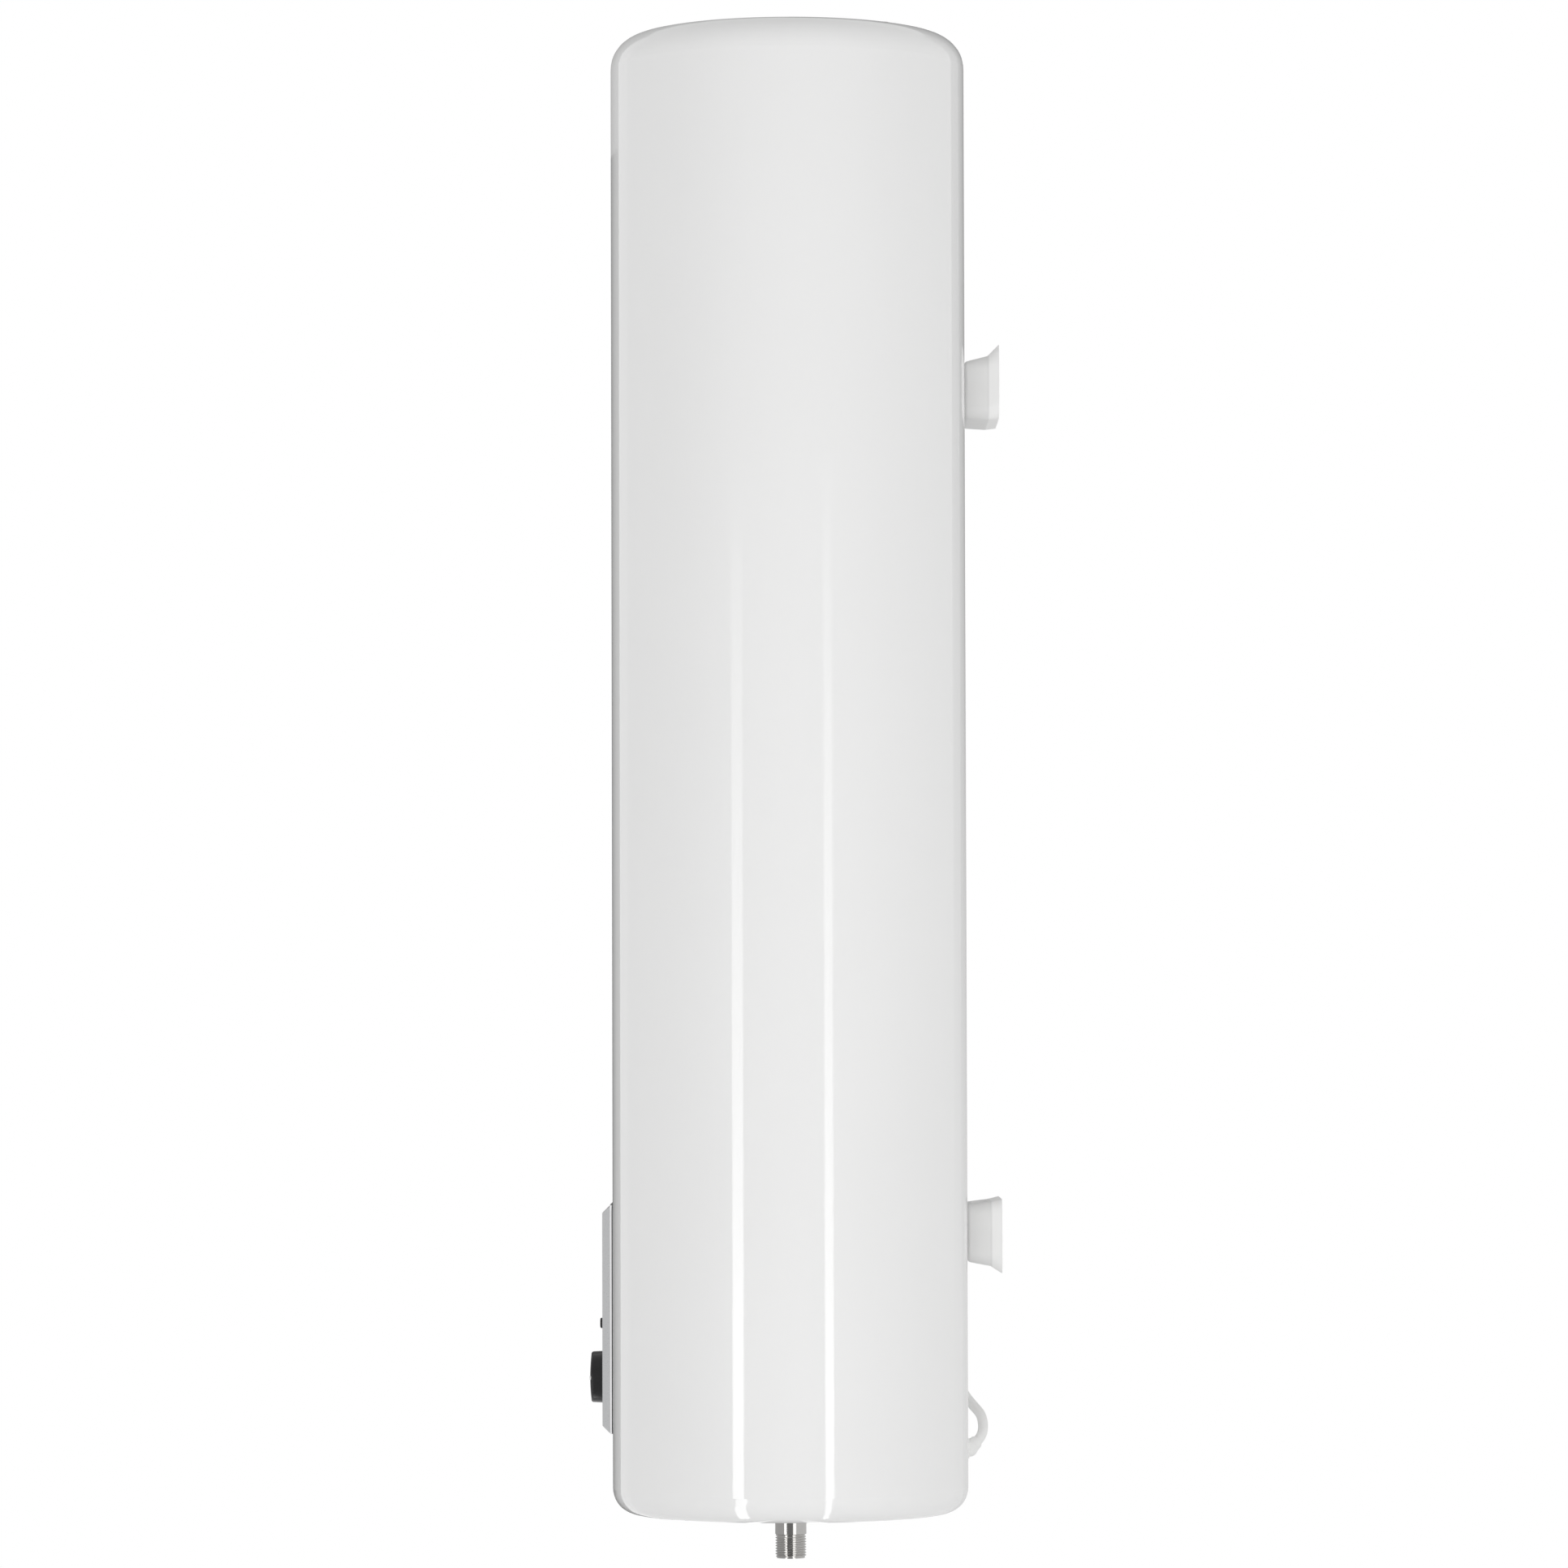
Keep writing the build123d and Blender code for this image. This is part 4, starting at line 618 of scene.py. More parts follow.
class Shape(Graph):
    """A geometry tree with named sizes, turned into plain meshes."""

    def __init__(self, name: str) -> None:
        """Start a tree that takes a geometry in and gives one out.

        Args:
            name: The tree's name.
        """
        super().__init__(bpy.data.node_groups.new(name, "GeometryNodeTree"))
        for way in ("INPUT", "OUTPUT"):
            self.tree.interface.new_socket("Geometry", in_out=way, socket_type="NodeSocketGeometry")
        self.entry = self.tree.nodes.new("NodeGroupInput")
        self.exit = self.tree.nodes.new("NodeGroupOutput")
        self.values: dict[str, Any] = {}

    def size(self, name: str, value: float | int) -> Wire:
        """Add a named size and remember its value.

        Args:
            name: What the tree's input is called.
            value: The size that a modifier gives it.

        Returns:
            The input, for use inside the tree.
        """
        kind = "NodeSocketInt" if isinstance(value, int) else "NodeSocketFloat"
        self.tree.interface.new_socket(name, in_out="INPUT", socket_type=kind)
        self.values[name] = value
        return Wire(self, self.entry.outputs[name])

    def source(self) -> Wire:
        """The geometry that the tree is given."""
        return Wire(self, self.entry.outputs["Geometry"])

    def vector(self, x: Any, y: Any, z: Any) -> Wire:
        """A vector from its three parts."""
        return self.make("ShaderNodeCombineXYZ", sockets={"X": x, "Y": y, "Z": z})

    def part_of(self, vector: Wire, axis: str) -> Wire:
        """One part of a vector."""
        return self.make("ShaderNodeSeparateXYZ", sockets={0: vector}, output=axis)

    def joined(self, *pieces: Wire) -> Wire:
        """Several geometries as one.

        Args:
            pieces: What to put together.

        Returns:
            All of them, unchanged.
        """
        node = self.tree.nodes.new("GeometryNodeJoinGeometry")
        for piece in pieces:
            self.tree.links.new(piece.socket, node.inputs[0])
        return Wire(self, node.outputs[0])

    def solid(self, way: Boolean, pieces: Sequence[Wire], base: Wire | None = None) -> Wire:
        """Closed pieces made one, or cut from a base, with clean faces where they meet.

        Args:
            way: How they are brought together.
            pieces: What is made one or cut away.
            base: What is cut, for a difference.

        Returns:
            The closed result.
        """
        sockets = {"Mesh 1": base} if base else {}
        settings = {"operation": way.value, "solver": "EXACT"}
        result = self.make("GeometryNodeMeshBoolean", settings, sockets)
        for piece in pieces:
            self.tree.links.new(piece.socket, result.socket.node.inputs["Mesh 2"])
        return result

    def moved(self, piece: Wire, offset: Any = (0.0, 0.0, 0.0), turn: Any = (0.0, 0.0, 0.0)) -> Wire:
        """A geometry turned and then moved."""
        sockets = {"Geometry": piece, "Translation": offset, "Rotation": turn}
        return self.make("GeometryNodeTransform", sockets=sockets)

    def drum(self, sides: int, radius: Any, depth: Any) -> Wire:
        """An upright prism or cylinder about the origin."""
        sockets = {"Vertices": sides, "Radius": radius, "Depth": depth}
        return self.make("GeometryNodeMeshCylinder", sockets=sockets)

    def taper(self, sides: int, top: Any, bottom: Any, depth: Any) -> Wire:
        """An upright frustum that stands on the origin."""
        sockets = {"Vertices": sides, "Radius Top": top, "Radius Bottom": bottom, "Depth": depth}
        return self.make("GeometryNodeMeshCone", sockets=sockets)

    def close(self, geometry: Wire, finish: Finish) -> None:
        """End the tree with real geometry in one finish.

        Args:
            geometry: What the tree gives out.
            finish: What it is made of.
        """
        real = self.make("GeometryNodeRealizeInstances", sockets={"Geometry": geometry})
        sockets = {"Geometry": real, "Material": finish.material()}
        painted = self.make("GeometryNodeSetMaterial", sockets=sockets)
        self.tree.links.new(painted.socket, self.exit.inputs["Geometry"])

    def mesh(self, name: str, source: bpy.types.Mesh | None = None) -> bpy.types.Mesh:
        """Run the tree once.

        Args:
            name: Name of the new mesh.
            source: The mesh that the tree is given, if it needs one.

        Returns:
            The result as a plain mesh.
        """
        holder = add_object(name, source or bpy.data.meshes.new(name))
        modifier = holder.modifiers.new(name, "NODES")
        modifier.node_group = self.tree
        for item in self.tree.interface.items_tree:
            if item.in_out == "INPUT" and item.name in self.values:
                modifier[item.identifier] = self.values[item.name]
        bpy.context.view_layer.update()
        settled = holder.evaluated_get(bpy.context.evaluated_depsgraph_get())
        mesh = bpy.data.meshes.new_from_object(settled)
        bpy.data.objects.remove(holder)
        painted = [material for material in mesh.materials if material]
        mesh.materials.clear()
        for material in painted:
            mesh.materials.append(material)
        for face in mesh.polygons:
            face.material_index = 0
        return mesh


def dots(name: str, places: Sequence[Sequence[float]]) -> bpy.types.Mesh:
    """A mesh of loose points, as places for copies.

    Args:
        name: The mesh's name.
        places: Where the points go.

    Returns:
        The mesh.
    """
    mesh = bpy.data.meshes.new(name)
    mesh.from_pydata([tuple(p) for p in places], [], [])
    return mesh


def turned(name: str, profile: Sequence[tuple[float, float]], sides: int, place: Matrix) -> bpy.types.Mesh:
    """A ring turned on a lathe from a closed profile.

    Args:
        name: The mesh's name.
        profile: Radius and height of each point, in order round the section.
        sides: How many steps make the full turn.
        place: Where the lathe's axis, its Z, goes.

    Returns:
        A closed mesh with smooth faces; points on the axis are merged.
    """
    shape = bmesh.new()
    rings = []
    for step in range(sides):
        angle = math.tau * step / sides
        flat = (math.cos(angle), math.sin(angle))
        rings.append([shape.verts.new(place @ Vector((r * flat[0], r * flat[1], z))) for r, z in profile])
    count = len(profile)
    for step in range(sides):
        here, there = rings[step], rings[(step + 1) % sides]
        for i in range(count):
            j = (i + 1) % count
            shape.faces.new((here[i], there[i], there[j], here[j]))
    bmesh.ops.remove_doubles(shape, verts=shape.verts, dist=WELD)
    bmesh.ops.dissolve_degenerate(shape, edges=shape.edges, dist=WELD)
    bmesh.ops.recalc_face_normals(shape, faces=shape.faces)
    mesh = bpy.data.meshes.new(name)
    shape.to_mesh(mesh)
    shape.free()
    smooth(mesh, limit=35.0)
    return mesh


def smooth(mesh: bpy.types.Mesh, limit: float) -> None:
    """Shade a mesh smooth, but keep its sharp edges.

    Args:
        mesh: The mesh to shade.
        limit: From how many degrees on an edge is sharp.
    """
    shape = bmesh.new()
    shape.from_mesh(mesh)
    for face in shape.faces:
        face.smooth = True
    for edge in shape.edges:
        edge.smooth = edge.calc_face_angle(math.pi) < math.radians(limit)
    shape.to_mesh(mesh)
    shape.free()


def fit(piece: bpy.types.Object, body: str, slot: str, *nodes: str) -> None:
    """Let a piece ride on a body and stand for frame nodes.

    Args:
        piece: The finished piece.
        body: The body that carries it.
        slot: The frame's slot for its material; not used.
        nodes: The frame's nodes that it stands for, if any.
    """
    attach(piece, body)
    if nodes:
        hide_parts(*nodes)
    LOG.info("%s: %d faces", piece.name, len(piece.data.polygons))


def middle(node: str) -> Vector:
    """Centre of a frame node's box."""
    low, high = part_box(node)
    return (Vector(low) + Vector(high)) / 2


@dataclass
class PipeStubs:
    """The two stainless stubs under the base, with their cut threads."""

    neck: float = 10.65 * MM
    major: float = 10.478 * MM
    depth: float = 1.0 * MM
    pitch: float = 1.814 * MM
    thread: float = 16.0 * MM
    bore: float = 8.0 * MM
    inner: float = 8.7 * MM
    lap: float = 0.05 * MM
    shoulder: Pair = (0.4 * MM, -0.3 * MM)
    chamfer: float = 0.6 * MM
    crest: float = 0.27
    steps_around: int = 96
    rows_per_turn: int = 16

    def thread_tree(self) -> Shape:
        """A tree that winds a right-handed thread down from the origin, closed inside the stub's wall.

        Returns:
            The tree, with its sizes as named inputs.
        """
        tree = Shape("pipe_thread")
        major = tree.size("Major Radius", self.major)
        depth = tree.size("Depth", self.depth)
        pitch = tree.size("Pitch", self.pitch)
        length = tree.size("Length", self.thread)
        crest = tree.size("Crest Share", self.crest)
        inner = tree.size("Inner Radius", self.inner)
        rows = int(self.rows_per_turn * self.thread / self.pitch)
        last = rows + 2
        counts = {"Vertices X": self.steps_around + 1, "Vertices Y": last + 1}
        grid = tree.make("GeometryNodeMeshGrid", sockets={"Size X": 1.0, "Size Y": 1.0, **counts})
        place = tree.make("GeometryNodeInputPosition")
        across = tree.part_of(place, "X") + 0.5
        row = (tree.part_of(place, "Y") + 0.5) * float(last)
        at_top = 1.0 - row.clamped()
        at_foot = (row - float(rows)).clamped()
        back_up = (row - float(rows + 1)).clamped()
        down = ((row - 1.0) / float(rows - 1)).clamped() * length * (1.0 - back_up)
        phase = (down / pitch - across) % 1.0
        ridge = ((abs(phase * 2.0 - 1.0) - crest) / (1.0 - crest * 2.0)).clamped()
        runout = (down / pitch).least((length - down) / pitch).clamped()
        outer = major - depth + depth * ridge * runout
        radius = outer + (inner - outer) * (at_top + at_foot)
        angle = across * -math.tau
        wound = tree.vector(radius * angle.cosine(), radius * angle.sine(), down * -1.0)
        shaped = tree.make("GeometryNodeSetPosition", sockets={"Geometry": grid, "Position": wound})
        welded = tree.make("GeometryNodeMergeByDistance", sockets={"Geometry": shaped, "Distance": WELD})
        tree.close(tree.joined(tree.source(), welded), STAINLESS)
        return tree

    def core(self, name: str, rise: float) -> bpy.types.Mesh:
        """The stub without its ridges, hung from the top of its thread at the origin.

        Args:
            name: The mesh's name.
            rise: How far the stub goes up from there.

        Returns:
            A closed tube.
        """
        root = self.major - self.depth + self.lap
        foot = -self.thread
        profile = [
            (self.bore, rise),
            (self.neck, rise),
            (self.neck, self.shoulder[0]),
            (root, self.shoulder[1]),
            (root, foot + self.chamfer),
            (root - self.chamfer, foot),
            (self.bore + self.chamfer, foot),
            (self.bore, foot + self.chamfer),
        ]
        return turned(name, profile, self.steps_around, Matrix.Identity(4))

    def build(self) -> None:
        """Make both stubs and hang them at their nodes."""
        tree = self.thread_tree()
        for node in ("cold_inlet_stub", "hot_outlet_stub"):
            low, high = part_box(node)
            centre = middle(node)
            top = low[2] + self.thread
            mesh = tree.mesh(f"{node}_threaded", self.core(node, high[2] - top))
            mesh.transform(Matrix.Translation((centre.x, centre.y, top)))
            smooth(mesh, limit=50.0)
            fit(add_object(f"{node}_threaded", mesh), FIXED_BODY, "stainless", node)


@dataclass
class Fasteners:
    """Flanged bolts in the trays and cross-head screws in the bottom cover."""

    bolt_across: float = 13.0 * MM
    bolt_head: float = 5.3 * MM
    bolt_flange: float = 8.2 * MM
    bolt_flange_t: float = 1.3 * MM
    bolt_shank: float = 4.0 * MM
    bolt_length: float = 20.2 * MM
    bolt_pitch: float = 62.0 * MM
    bolt_crown: float = 0.8 * MM
    crown_taper: float = 0.84
    flange_taper: float = 0.93
    flange_sides: int = 48
    hex_sides: int = 6
    bolt_sides: int = 32
    screw_head: float = 3.2 * MM
    screw_head_t: float = 1.4 * MM
    screw_shank: float = 1.75 * MM
    screw_length: float = 8.0 * MM
    screw_x: float = 97.0 * MM
    head_taper: float = 0.8
    head_sides: int = 40
    screw_sides: int = 24
    cross_w: float = 0.8 * MM
    cross_l: float = 3.4 * MM

    def bolt_tree(self) -> Shape:
        """A tree that puts a flanged hexagon bolt on every point, head towards +Y.

        Returns:
            The tree, with its sizes as named inputs.
        """
        tree = Shape("tray_bolt")
        corner = tree.size("Corner Radius", self.bolt_across / math.sqrt(3.0))
        head = tree.size("Head Height", self.bolt_head)
        flange = tree.size("Flange Radius", self.bolt_flange)
        flange_t = tree.size("Flange Thickness", self.bolt_flange_t)
        shank = tree.size("Shank Radius", self.bolt_shank)
        length = tree.size("Shank Length", self.bolt_length)
        crown = tree.size("Crown Height", self.bolt_crown)
        side = head - crown
        washer = tree.taper(self.flange_sides, flange * self.flange_taper, flange, flange_t)
        nut = tree.drum(self.hex_sides, corner, side)
        nut = tree.moved(nut, tree.vector(0.0, 0.0, side * 0.5))
        cap = tree.taper(self.hex_sides, corner * self.crown_taper, corner, crown)
        cap = tree.moved(cap, tree.vector(0.0, 0.0, side))
        stem = tree.drum(self.bolt_sides, shank, length)
        stem = tree.moved(stem, tree.vector(0.0, 0.0, length * -0.5))
        bolt = tree.solid(Boolean.UNION, (washer, nut, cap, stem))
        self._place(tree, bolt, (-math.pi / 2, 0.0, 0.0))
        return tree

    def screw_tree(self) -> Shape:
        """A tree that puts a cross-head screw on every point, head towards -Z.

        Returns:
            The tree, with its sizes as named inputs.
        """
        tree = Shape("cover_screw")
        head = tree.size("Head Radius", self.screw_head)
        head_t = tree.size("Head Height", self.screw_head_t)
        shank = tree.size("Shank Radius", self.screw_shank)
        length = tree.size("Shank Length", self.screw_length)
        wide = tree.size("Cross Width", self.cross_w)
        long = tree.size("Cross Length", self.cross_l)
        solid = tree.taper(self.head_sides, head * self.head_taper, head, head_t)
        bars = []
        for size in (tree.vector(long, wide, head_t), tree.vector(wide, long, head_t)):
            bar = tree.make("GeometryNodeMeshCube", sockets={"Size": size})
            bars.append(tree.moved(bar, tree.vector(0.0, 0.0, head_t)))
        cut = tree.solid(Boolean.DIFFERENCE, bars, solid)
        stem = tree.drum(self.screw_sides, shank, length)
        stem = tree.moved(stem, tree.vector(0.0, 0.0, length * -0.5))
        self._place(tree, tree.joined(cut, stem), (math.pi, 0.0, 0.0))
        return tree

    @staticmethod
    def _place(tree: Shape, fastener: Wire, turn: Point) -> None:
        """Put one fastener on every point of the tree's source.

        Args:
            tree: The tree to end.
            fastener: One fastener, upright at the origin.
            turn: How it is turned, in radians.
        """
        aimed = tree.moved(fastener, turn=turn)
        sockets = {"Points": tree.source(), "Instance": aimed}
        tree.close(tree.make("GeometryNodeInstanceOnPoints", sockets=sockets), ZINC)

    def build(self) -> None:
        """Make both sets."""
        bolts_low, bolts_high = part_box("bracket_bolts")
        seat_y = bolts_high[1] - self.bolt_head
        heights = [bolts_low[2] + self.bolt_across / 2, bolts_high[2] - self.bolt_across / 2]
        places = [(x * self.bolt_pitch / 2, seat_y, z) for x in (-1, 1) for z in heights]
        mesh = self.bolt_tree().mesh("tray_bolts", dots("tray_bolt_places", places))
        smooth(mesh, limit=25.0)
        fit(add_object("tray_bolts", mesh), FIXED_BODY, "zinc_steel", "bracket_bolts")

        low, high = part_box("bottom_cover_screws")
        centre = middle("bottom_cover_screws")
        row = (high[1] - low[1]) / 2 - self.screw_head
        end = (high[0] - low[0]) / 2 - self.screw_head
        seat = low[2] + self.screw_head_t
        places = [(x * self.screw_x, centre.y + y * row, seat) for x in (-1, 1) for y in (-1, 1)]
        places += [(x * end, centre.y, seat) for x in (-1, 1)]
        mesh = self.screw_tree().mesh("cover_screws", dots("cover_screw_places", places))
        smooth(mesh, limit=25.0)
        fit(add_object("cover_screws", mesh), FIXED_BODY, "zinc_steel", "bottom_cover_screws")


@dataclass
class ControlPanel:
    """The panel's dial knob, its printed marks, and the seal lip and bright trim round the bezel."""

    crown: float = 0.9 * MM
    edge: float = 1.5 * MM
    skirt: float = 0.6 * MM
    draft: float = 0.35 * MM
    arc_steps: int = 6
    sides: int = 96
    tick_radius: float = 22.0 * MM
    tick_length: float = 3.0 * MM
    tick_width: float = 0.7 * MM
    print_t: float = 0.12 * MM
    tick_count: int = 19
    major_every: float = 3.0
    minor_scale: Pair = (0.6, 0.75)
    major_gain: Pair = (0.4, 0.5)
    sweep: float = math.radians(270.0)
    number_radius: float = 27.6 * MM
    number_height: float = 6.0 * MM
    number_stroke: float = 0.08 * MM
    numbers: tuple[str, ...] = ("0", "1", "2", "3", "4", "5", "6")
    corner: float = 6.0 * MM
    seal_t: float = 0.5 * MM
    seal_d: float = 1.4 * MM
    seal_tuck: float = 0.5 * MM
    trim_t: float = 0.7 * MM
    trim_d: float = 1.1 * MM
    trim_lap: float = 0.4 * MM
    corner_steps: int = 8
    clear: float = 0.03 * MM

    def knob(self) -> None:
        """Turn the knob with a crowned face and a drafted side."""
        low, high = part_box("temperature_knob")
        centre = middle("temperature_knob")
        radius = (high[0] - low[0]) / 2
        depth = high[1] - low[1]
        profile = [(0.0, depth)]
        brow = radius - self.draft - self.edge
        shares = [step / self.arc_steps for step in range(1, self.arc_steps + 1)]
        for share in shares:
            profile.append((brow * share, depth - self.crown * share * share))
        for share in shares:
            angle = math.pi / 2 * share
            shift = self.edge * (1 - math.cos(angle))
            profile.append((brow + self.edge * math.sin(angle), depth - self.crown - shift))
        profile += [(radius, self.skirt), (radius - self.skirt, 0.0), (0.0, 0.0)]
        aim = Matrix.Translation((centre.x, high[1], centre.z)) @ Matrix.Rotation(math.pi / 2, 4, "X")
        mesh = turned("dial_knob", profile, self.sides, aim)
        mesh.materials.append(BLACK_GLOSS.material())
        fit(add_object("dial_knob", mesh), "knob", "black_gloss", "temperature_knob")

    def tick_tree(self) -> Shape:
        """A tree that sets printed ticks round an arc that opens downwards, facing -Y.

        Returns:
            The tree, with its sizes as named inputs.
        """
        tree = Shape("dial_ticks")
        count = tree.size("Count", self.tick_count)
        radius = tree.size("Radius", self.tick_radius)
        length = tree.size("Length", self.tick_length)
        width = tree.size("Width", self.tick_width)
        thick = tree.size("Thickness", self.print_t)
        sweep = tree.size("Sweep", self.sweep)
        line = tree.make("GeometryNodeMeshLine", sockets={"Count": count})
        step = tree.make("GeometryNodeInputIndex")
        angle = math.pi / 2 + sweep * 0.5 - sweep * step / (count - 1.0)
        place = tree.vector(radius * angle.cosine(), 0.0, radius * angle.sine())
        spread = tree.make("GeometryNodeSetPosition", sockets={"Geometry": line, "Position": place})
        major = 1.0 - (step % self.major_every).least(1.0)
        longer, wider = (low + major * gain for low, gain in zip(self.minor_scale, self.major_gain))
        bar = tree.make("GeometryNodeMeshCube", sockets={"Size": tree.vector(length, thick, width)})
        sockets = {
            "Points": spread,
            "Instance": bar,
            "Rotation": tree.vector(0.0, angle * -1.0, 0.0),
            "Scale": tree.vector(longer, 1.0, wider),
        }
        tree.close(tree.make("GeometryNodeInstanceOnPoints", sockets=sockets), BLACK_MOULDING)
        return tree

    def band(self, name: str, thick: float, deep: float, foot: float, finish: Finish, slot: str) -> None:
        """Lay a thin band round the bezel's side.

        Args:
            name: The piece's name.
            thick: How far it stands off the side.
            deep: How wide it is from back to front.
            foot: How far its back edge is from the bezel's back.
            finish: What it is made of.
            slot: Which slot of the frame that counts as.
        """
        low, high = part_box("panel_bezel")
        grow = thick + 2 * self.clear
        tree = Shape(name)
        wide = tree.size("Width", high[0] - low[0] + grow)
        tall = tree.size("Height", high[2] - low[2] + grow)
        corner = tree.size("Corner Radius", self.corner + grow / 2)
        stand = tree.size("Thickness", thick)
        depth = tree.size("Depth", deep)
        oblong = "GeometryNodeCurvePrimitiveQuadrilateral"
        loop = tree.make(oblong, sockets={"Width": wide, "Height": tall})
        sockets = {"Curve": loop, "Radius": corner, "Count": self.corner_steps}
        round_loop = tree.make("GeometryNodeFilletCurve", {"mode": "POLY"}, sockets)
        edge = tree.make(oblong, sockets={"Width": stand, "Height": depth})
        swept = tree.make("GeometryNodeCurveToMesh", sockets={"Curve": round_loop, "Profile Curve": edge})
        tree.close(tree.moved(swept, turn=(math.pi / 2, 0.0, 0.0)), finish)
        mesh = tree.mesh(name)
        centre = middle("panel_bezel")
        mesh.transform(Matrix.Translation((centre.x, high[1] - foot - deep / 2, centre.z)))
        smooth(mesh, limit=30.0)
        fit(add_object(name, mesh), FIXED_BODY, slot)

    def marks(self) -> None:
        """Print the ticks and numbers round the knob."""
        face_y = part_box("panel_face")[0][1]
        centre = middle("temperature_knob")
        origin = Vector((centre.x, face_y - self.print_t / 2, centre.z))
        mesh = self.tick_tree().mesh("dial_ticks")
        mesh.transform(Matrix.Translation(origin))
        fit(add_object("dial_ticks", mesh), FIXED_BODY, "black_moulding")
        for index, number in enumerate(self.numbers):
            share = index / (len(self.numbers) - 1)
            angle = math.pi / 2 + self.sweep * (0.5 - share)
            spot = origin + Vector((math.cos(angle), 0.0, math.sin(angle))) * self.number_radius
            self.printed(f"dial_number_{number}", number, self.number_height, spot)

    def printed(self, name: str, number: str, height: float, spot: Vector) -> None:
        """Set a number flat on the panel, centred on a spot.

        Args:
            name: The piece's name.
            number: What to set.
            height: Height of the figure.
            spot: Where the middle goes.
        """
        data = bpy.data.curves.new(name, "FONT")
        data.body = number
        data.size = height
        data.extrude = self.print_t / 2
        data.offset = self.number_stroke
        data.resolution_u = 4
        data.align_x = "CENTER"
        data.align_y = "CENTER"
        holder = add_object(name, data)
        bpy.context.view_layer.update()
        settled = holder.evaluated_get(bpy.context.evaluated_depsgraph_get())
        mesh = bpy.data.meshes.new_from_object(settled)
        bpy.data.objects.remove(holder)
        mesh.transform(Matrix.Translation(spot) @ Matrix.Rotation(math.pi / 2, 4, "X"))
        mesh.materials.clear()
        mesh.materials.append(BLACK_MOULDING.material())
        fit(add_object(name, mesh), FIXED_BODY, "black_moulding")

    def build(self) -> None:
        """Make the bands, the knob and the marks."""
        self.band("panel_seal_lip", self.seal_t, self.seal_d, -self.seal_tuck, SEAL, "black_rubber")
        over = self.seal_d - self.trim_lap
        self.band("panel_trim", self.trim_t, self.trim_d, over, TRIM_BRIGHT, "panel_silver")
        self.knob()
        self.marks()


@dataclass
class PlugGrip:
    """Moulded ribs round the plug's strain relief, which widens along +Y from the lead."""

    count: int = 6
    first: float = 5.0 * MM
    pitch: float = 3.6 * MM
    lead_end: float = 5.0 * MM
    plug_end: float = 9.0 * MM
    run: float = 28.0 * MM
    bulge: float = 0.11
    sides: int = 48
    bulge_sides: int = 10

    def rib_tree(self) -> Shape:
        """A tree that sets rings of growing size along +Y from the origin.

        Returns:
            The tree, with its sizes as named inputs.
        """
        tree = Shape("plug_ribs")
        count = tree.size("Count", self.count)
        first = tree.size("First", self.first)
        pitch = tree.size("Pitch", self.pitch)
        lead_end = tree.size("Lead End Radius", self.lead_end)
        plug_end = tree.size("Plug End Radius", self.plug_end)
        run = tree.size("Run", self.run)
        bulge = tree.size("Bulge", self.bulge)
        line = tree.make("GeometryNodeMeshLine", sockets={"Count": count})
        along = first + pitch * tree.make("GeometryNodeInputIndex")
        place = tree.vector(0.0, along, 0.0)
        spread = tree.make("GeometryNodeSetPosition", sockets={"Geometry": line, "Position": place})
        round_loop = {"Resolution": self.sides, "Radius": 1.0}
        loop = tree.make("GeometryNodeCurvePrimitiveCircle", sockets=round_loop)
        round_edge = {"Resolution": self.bulge_sides, "Radius": bulge}
        edge = tree.make("GeometryNodeCurvePrimitiveCircle", sockets=round_edge)
        ring = tree.make("GeometryNodeCurveToMesh", sockets={"Curve": loop, "Profile Curve": edge})
        radius = lead_end + (plug_end - lead_end) * along / run
        sockets = {
            "Points": spread,
            "Instance": ring,
            "Rotation": (math.pi / 2, 0.0, 0.0),
            "Scale": tree.vector(radius, radius, radius),
        }
        tree.close(tree.make("GeometryNodeInstanceOnPoints", sockets=sockets), LEAD_PVC)
        return tree

    def build(self) -> None:
        """Put the ribs on the plug."""
        mesh = self.rib_tree().mesh("plug_ribs")
        centre = middle("plug_body")
        mesh.transform(Matrix.Translation((centre.x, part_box("plug_body")[0][1], centre.z)))
        smooth(mesh, limit=60.0)
        fit(add_object("plug_ribs", mesh), FIXED_BODY, "cord_white")


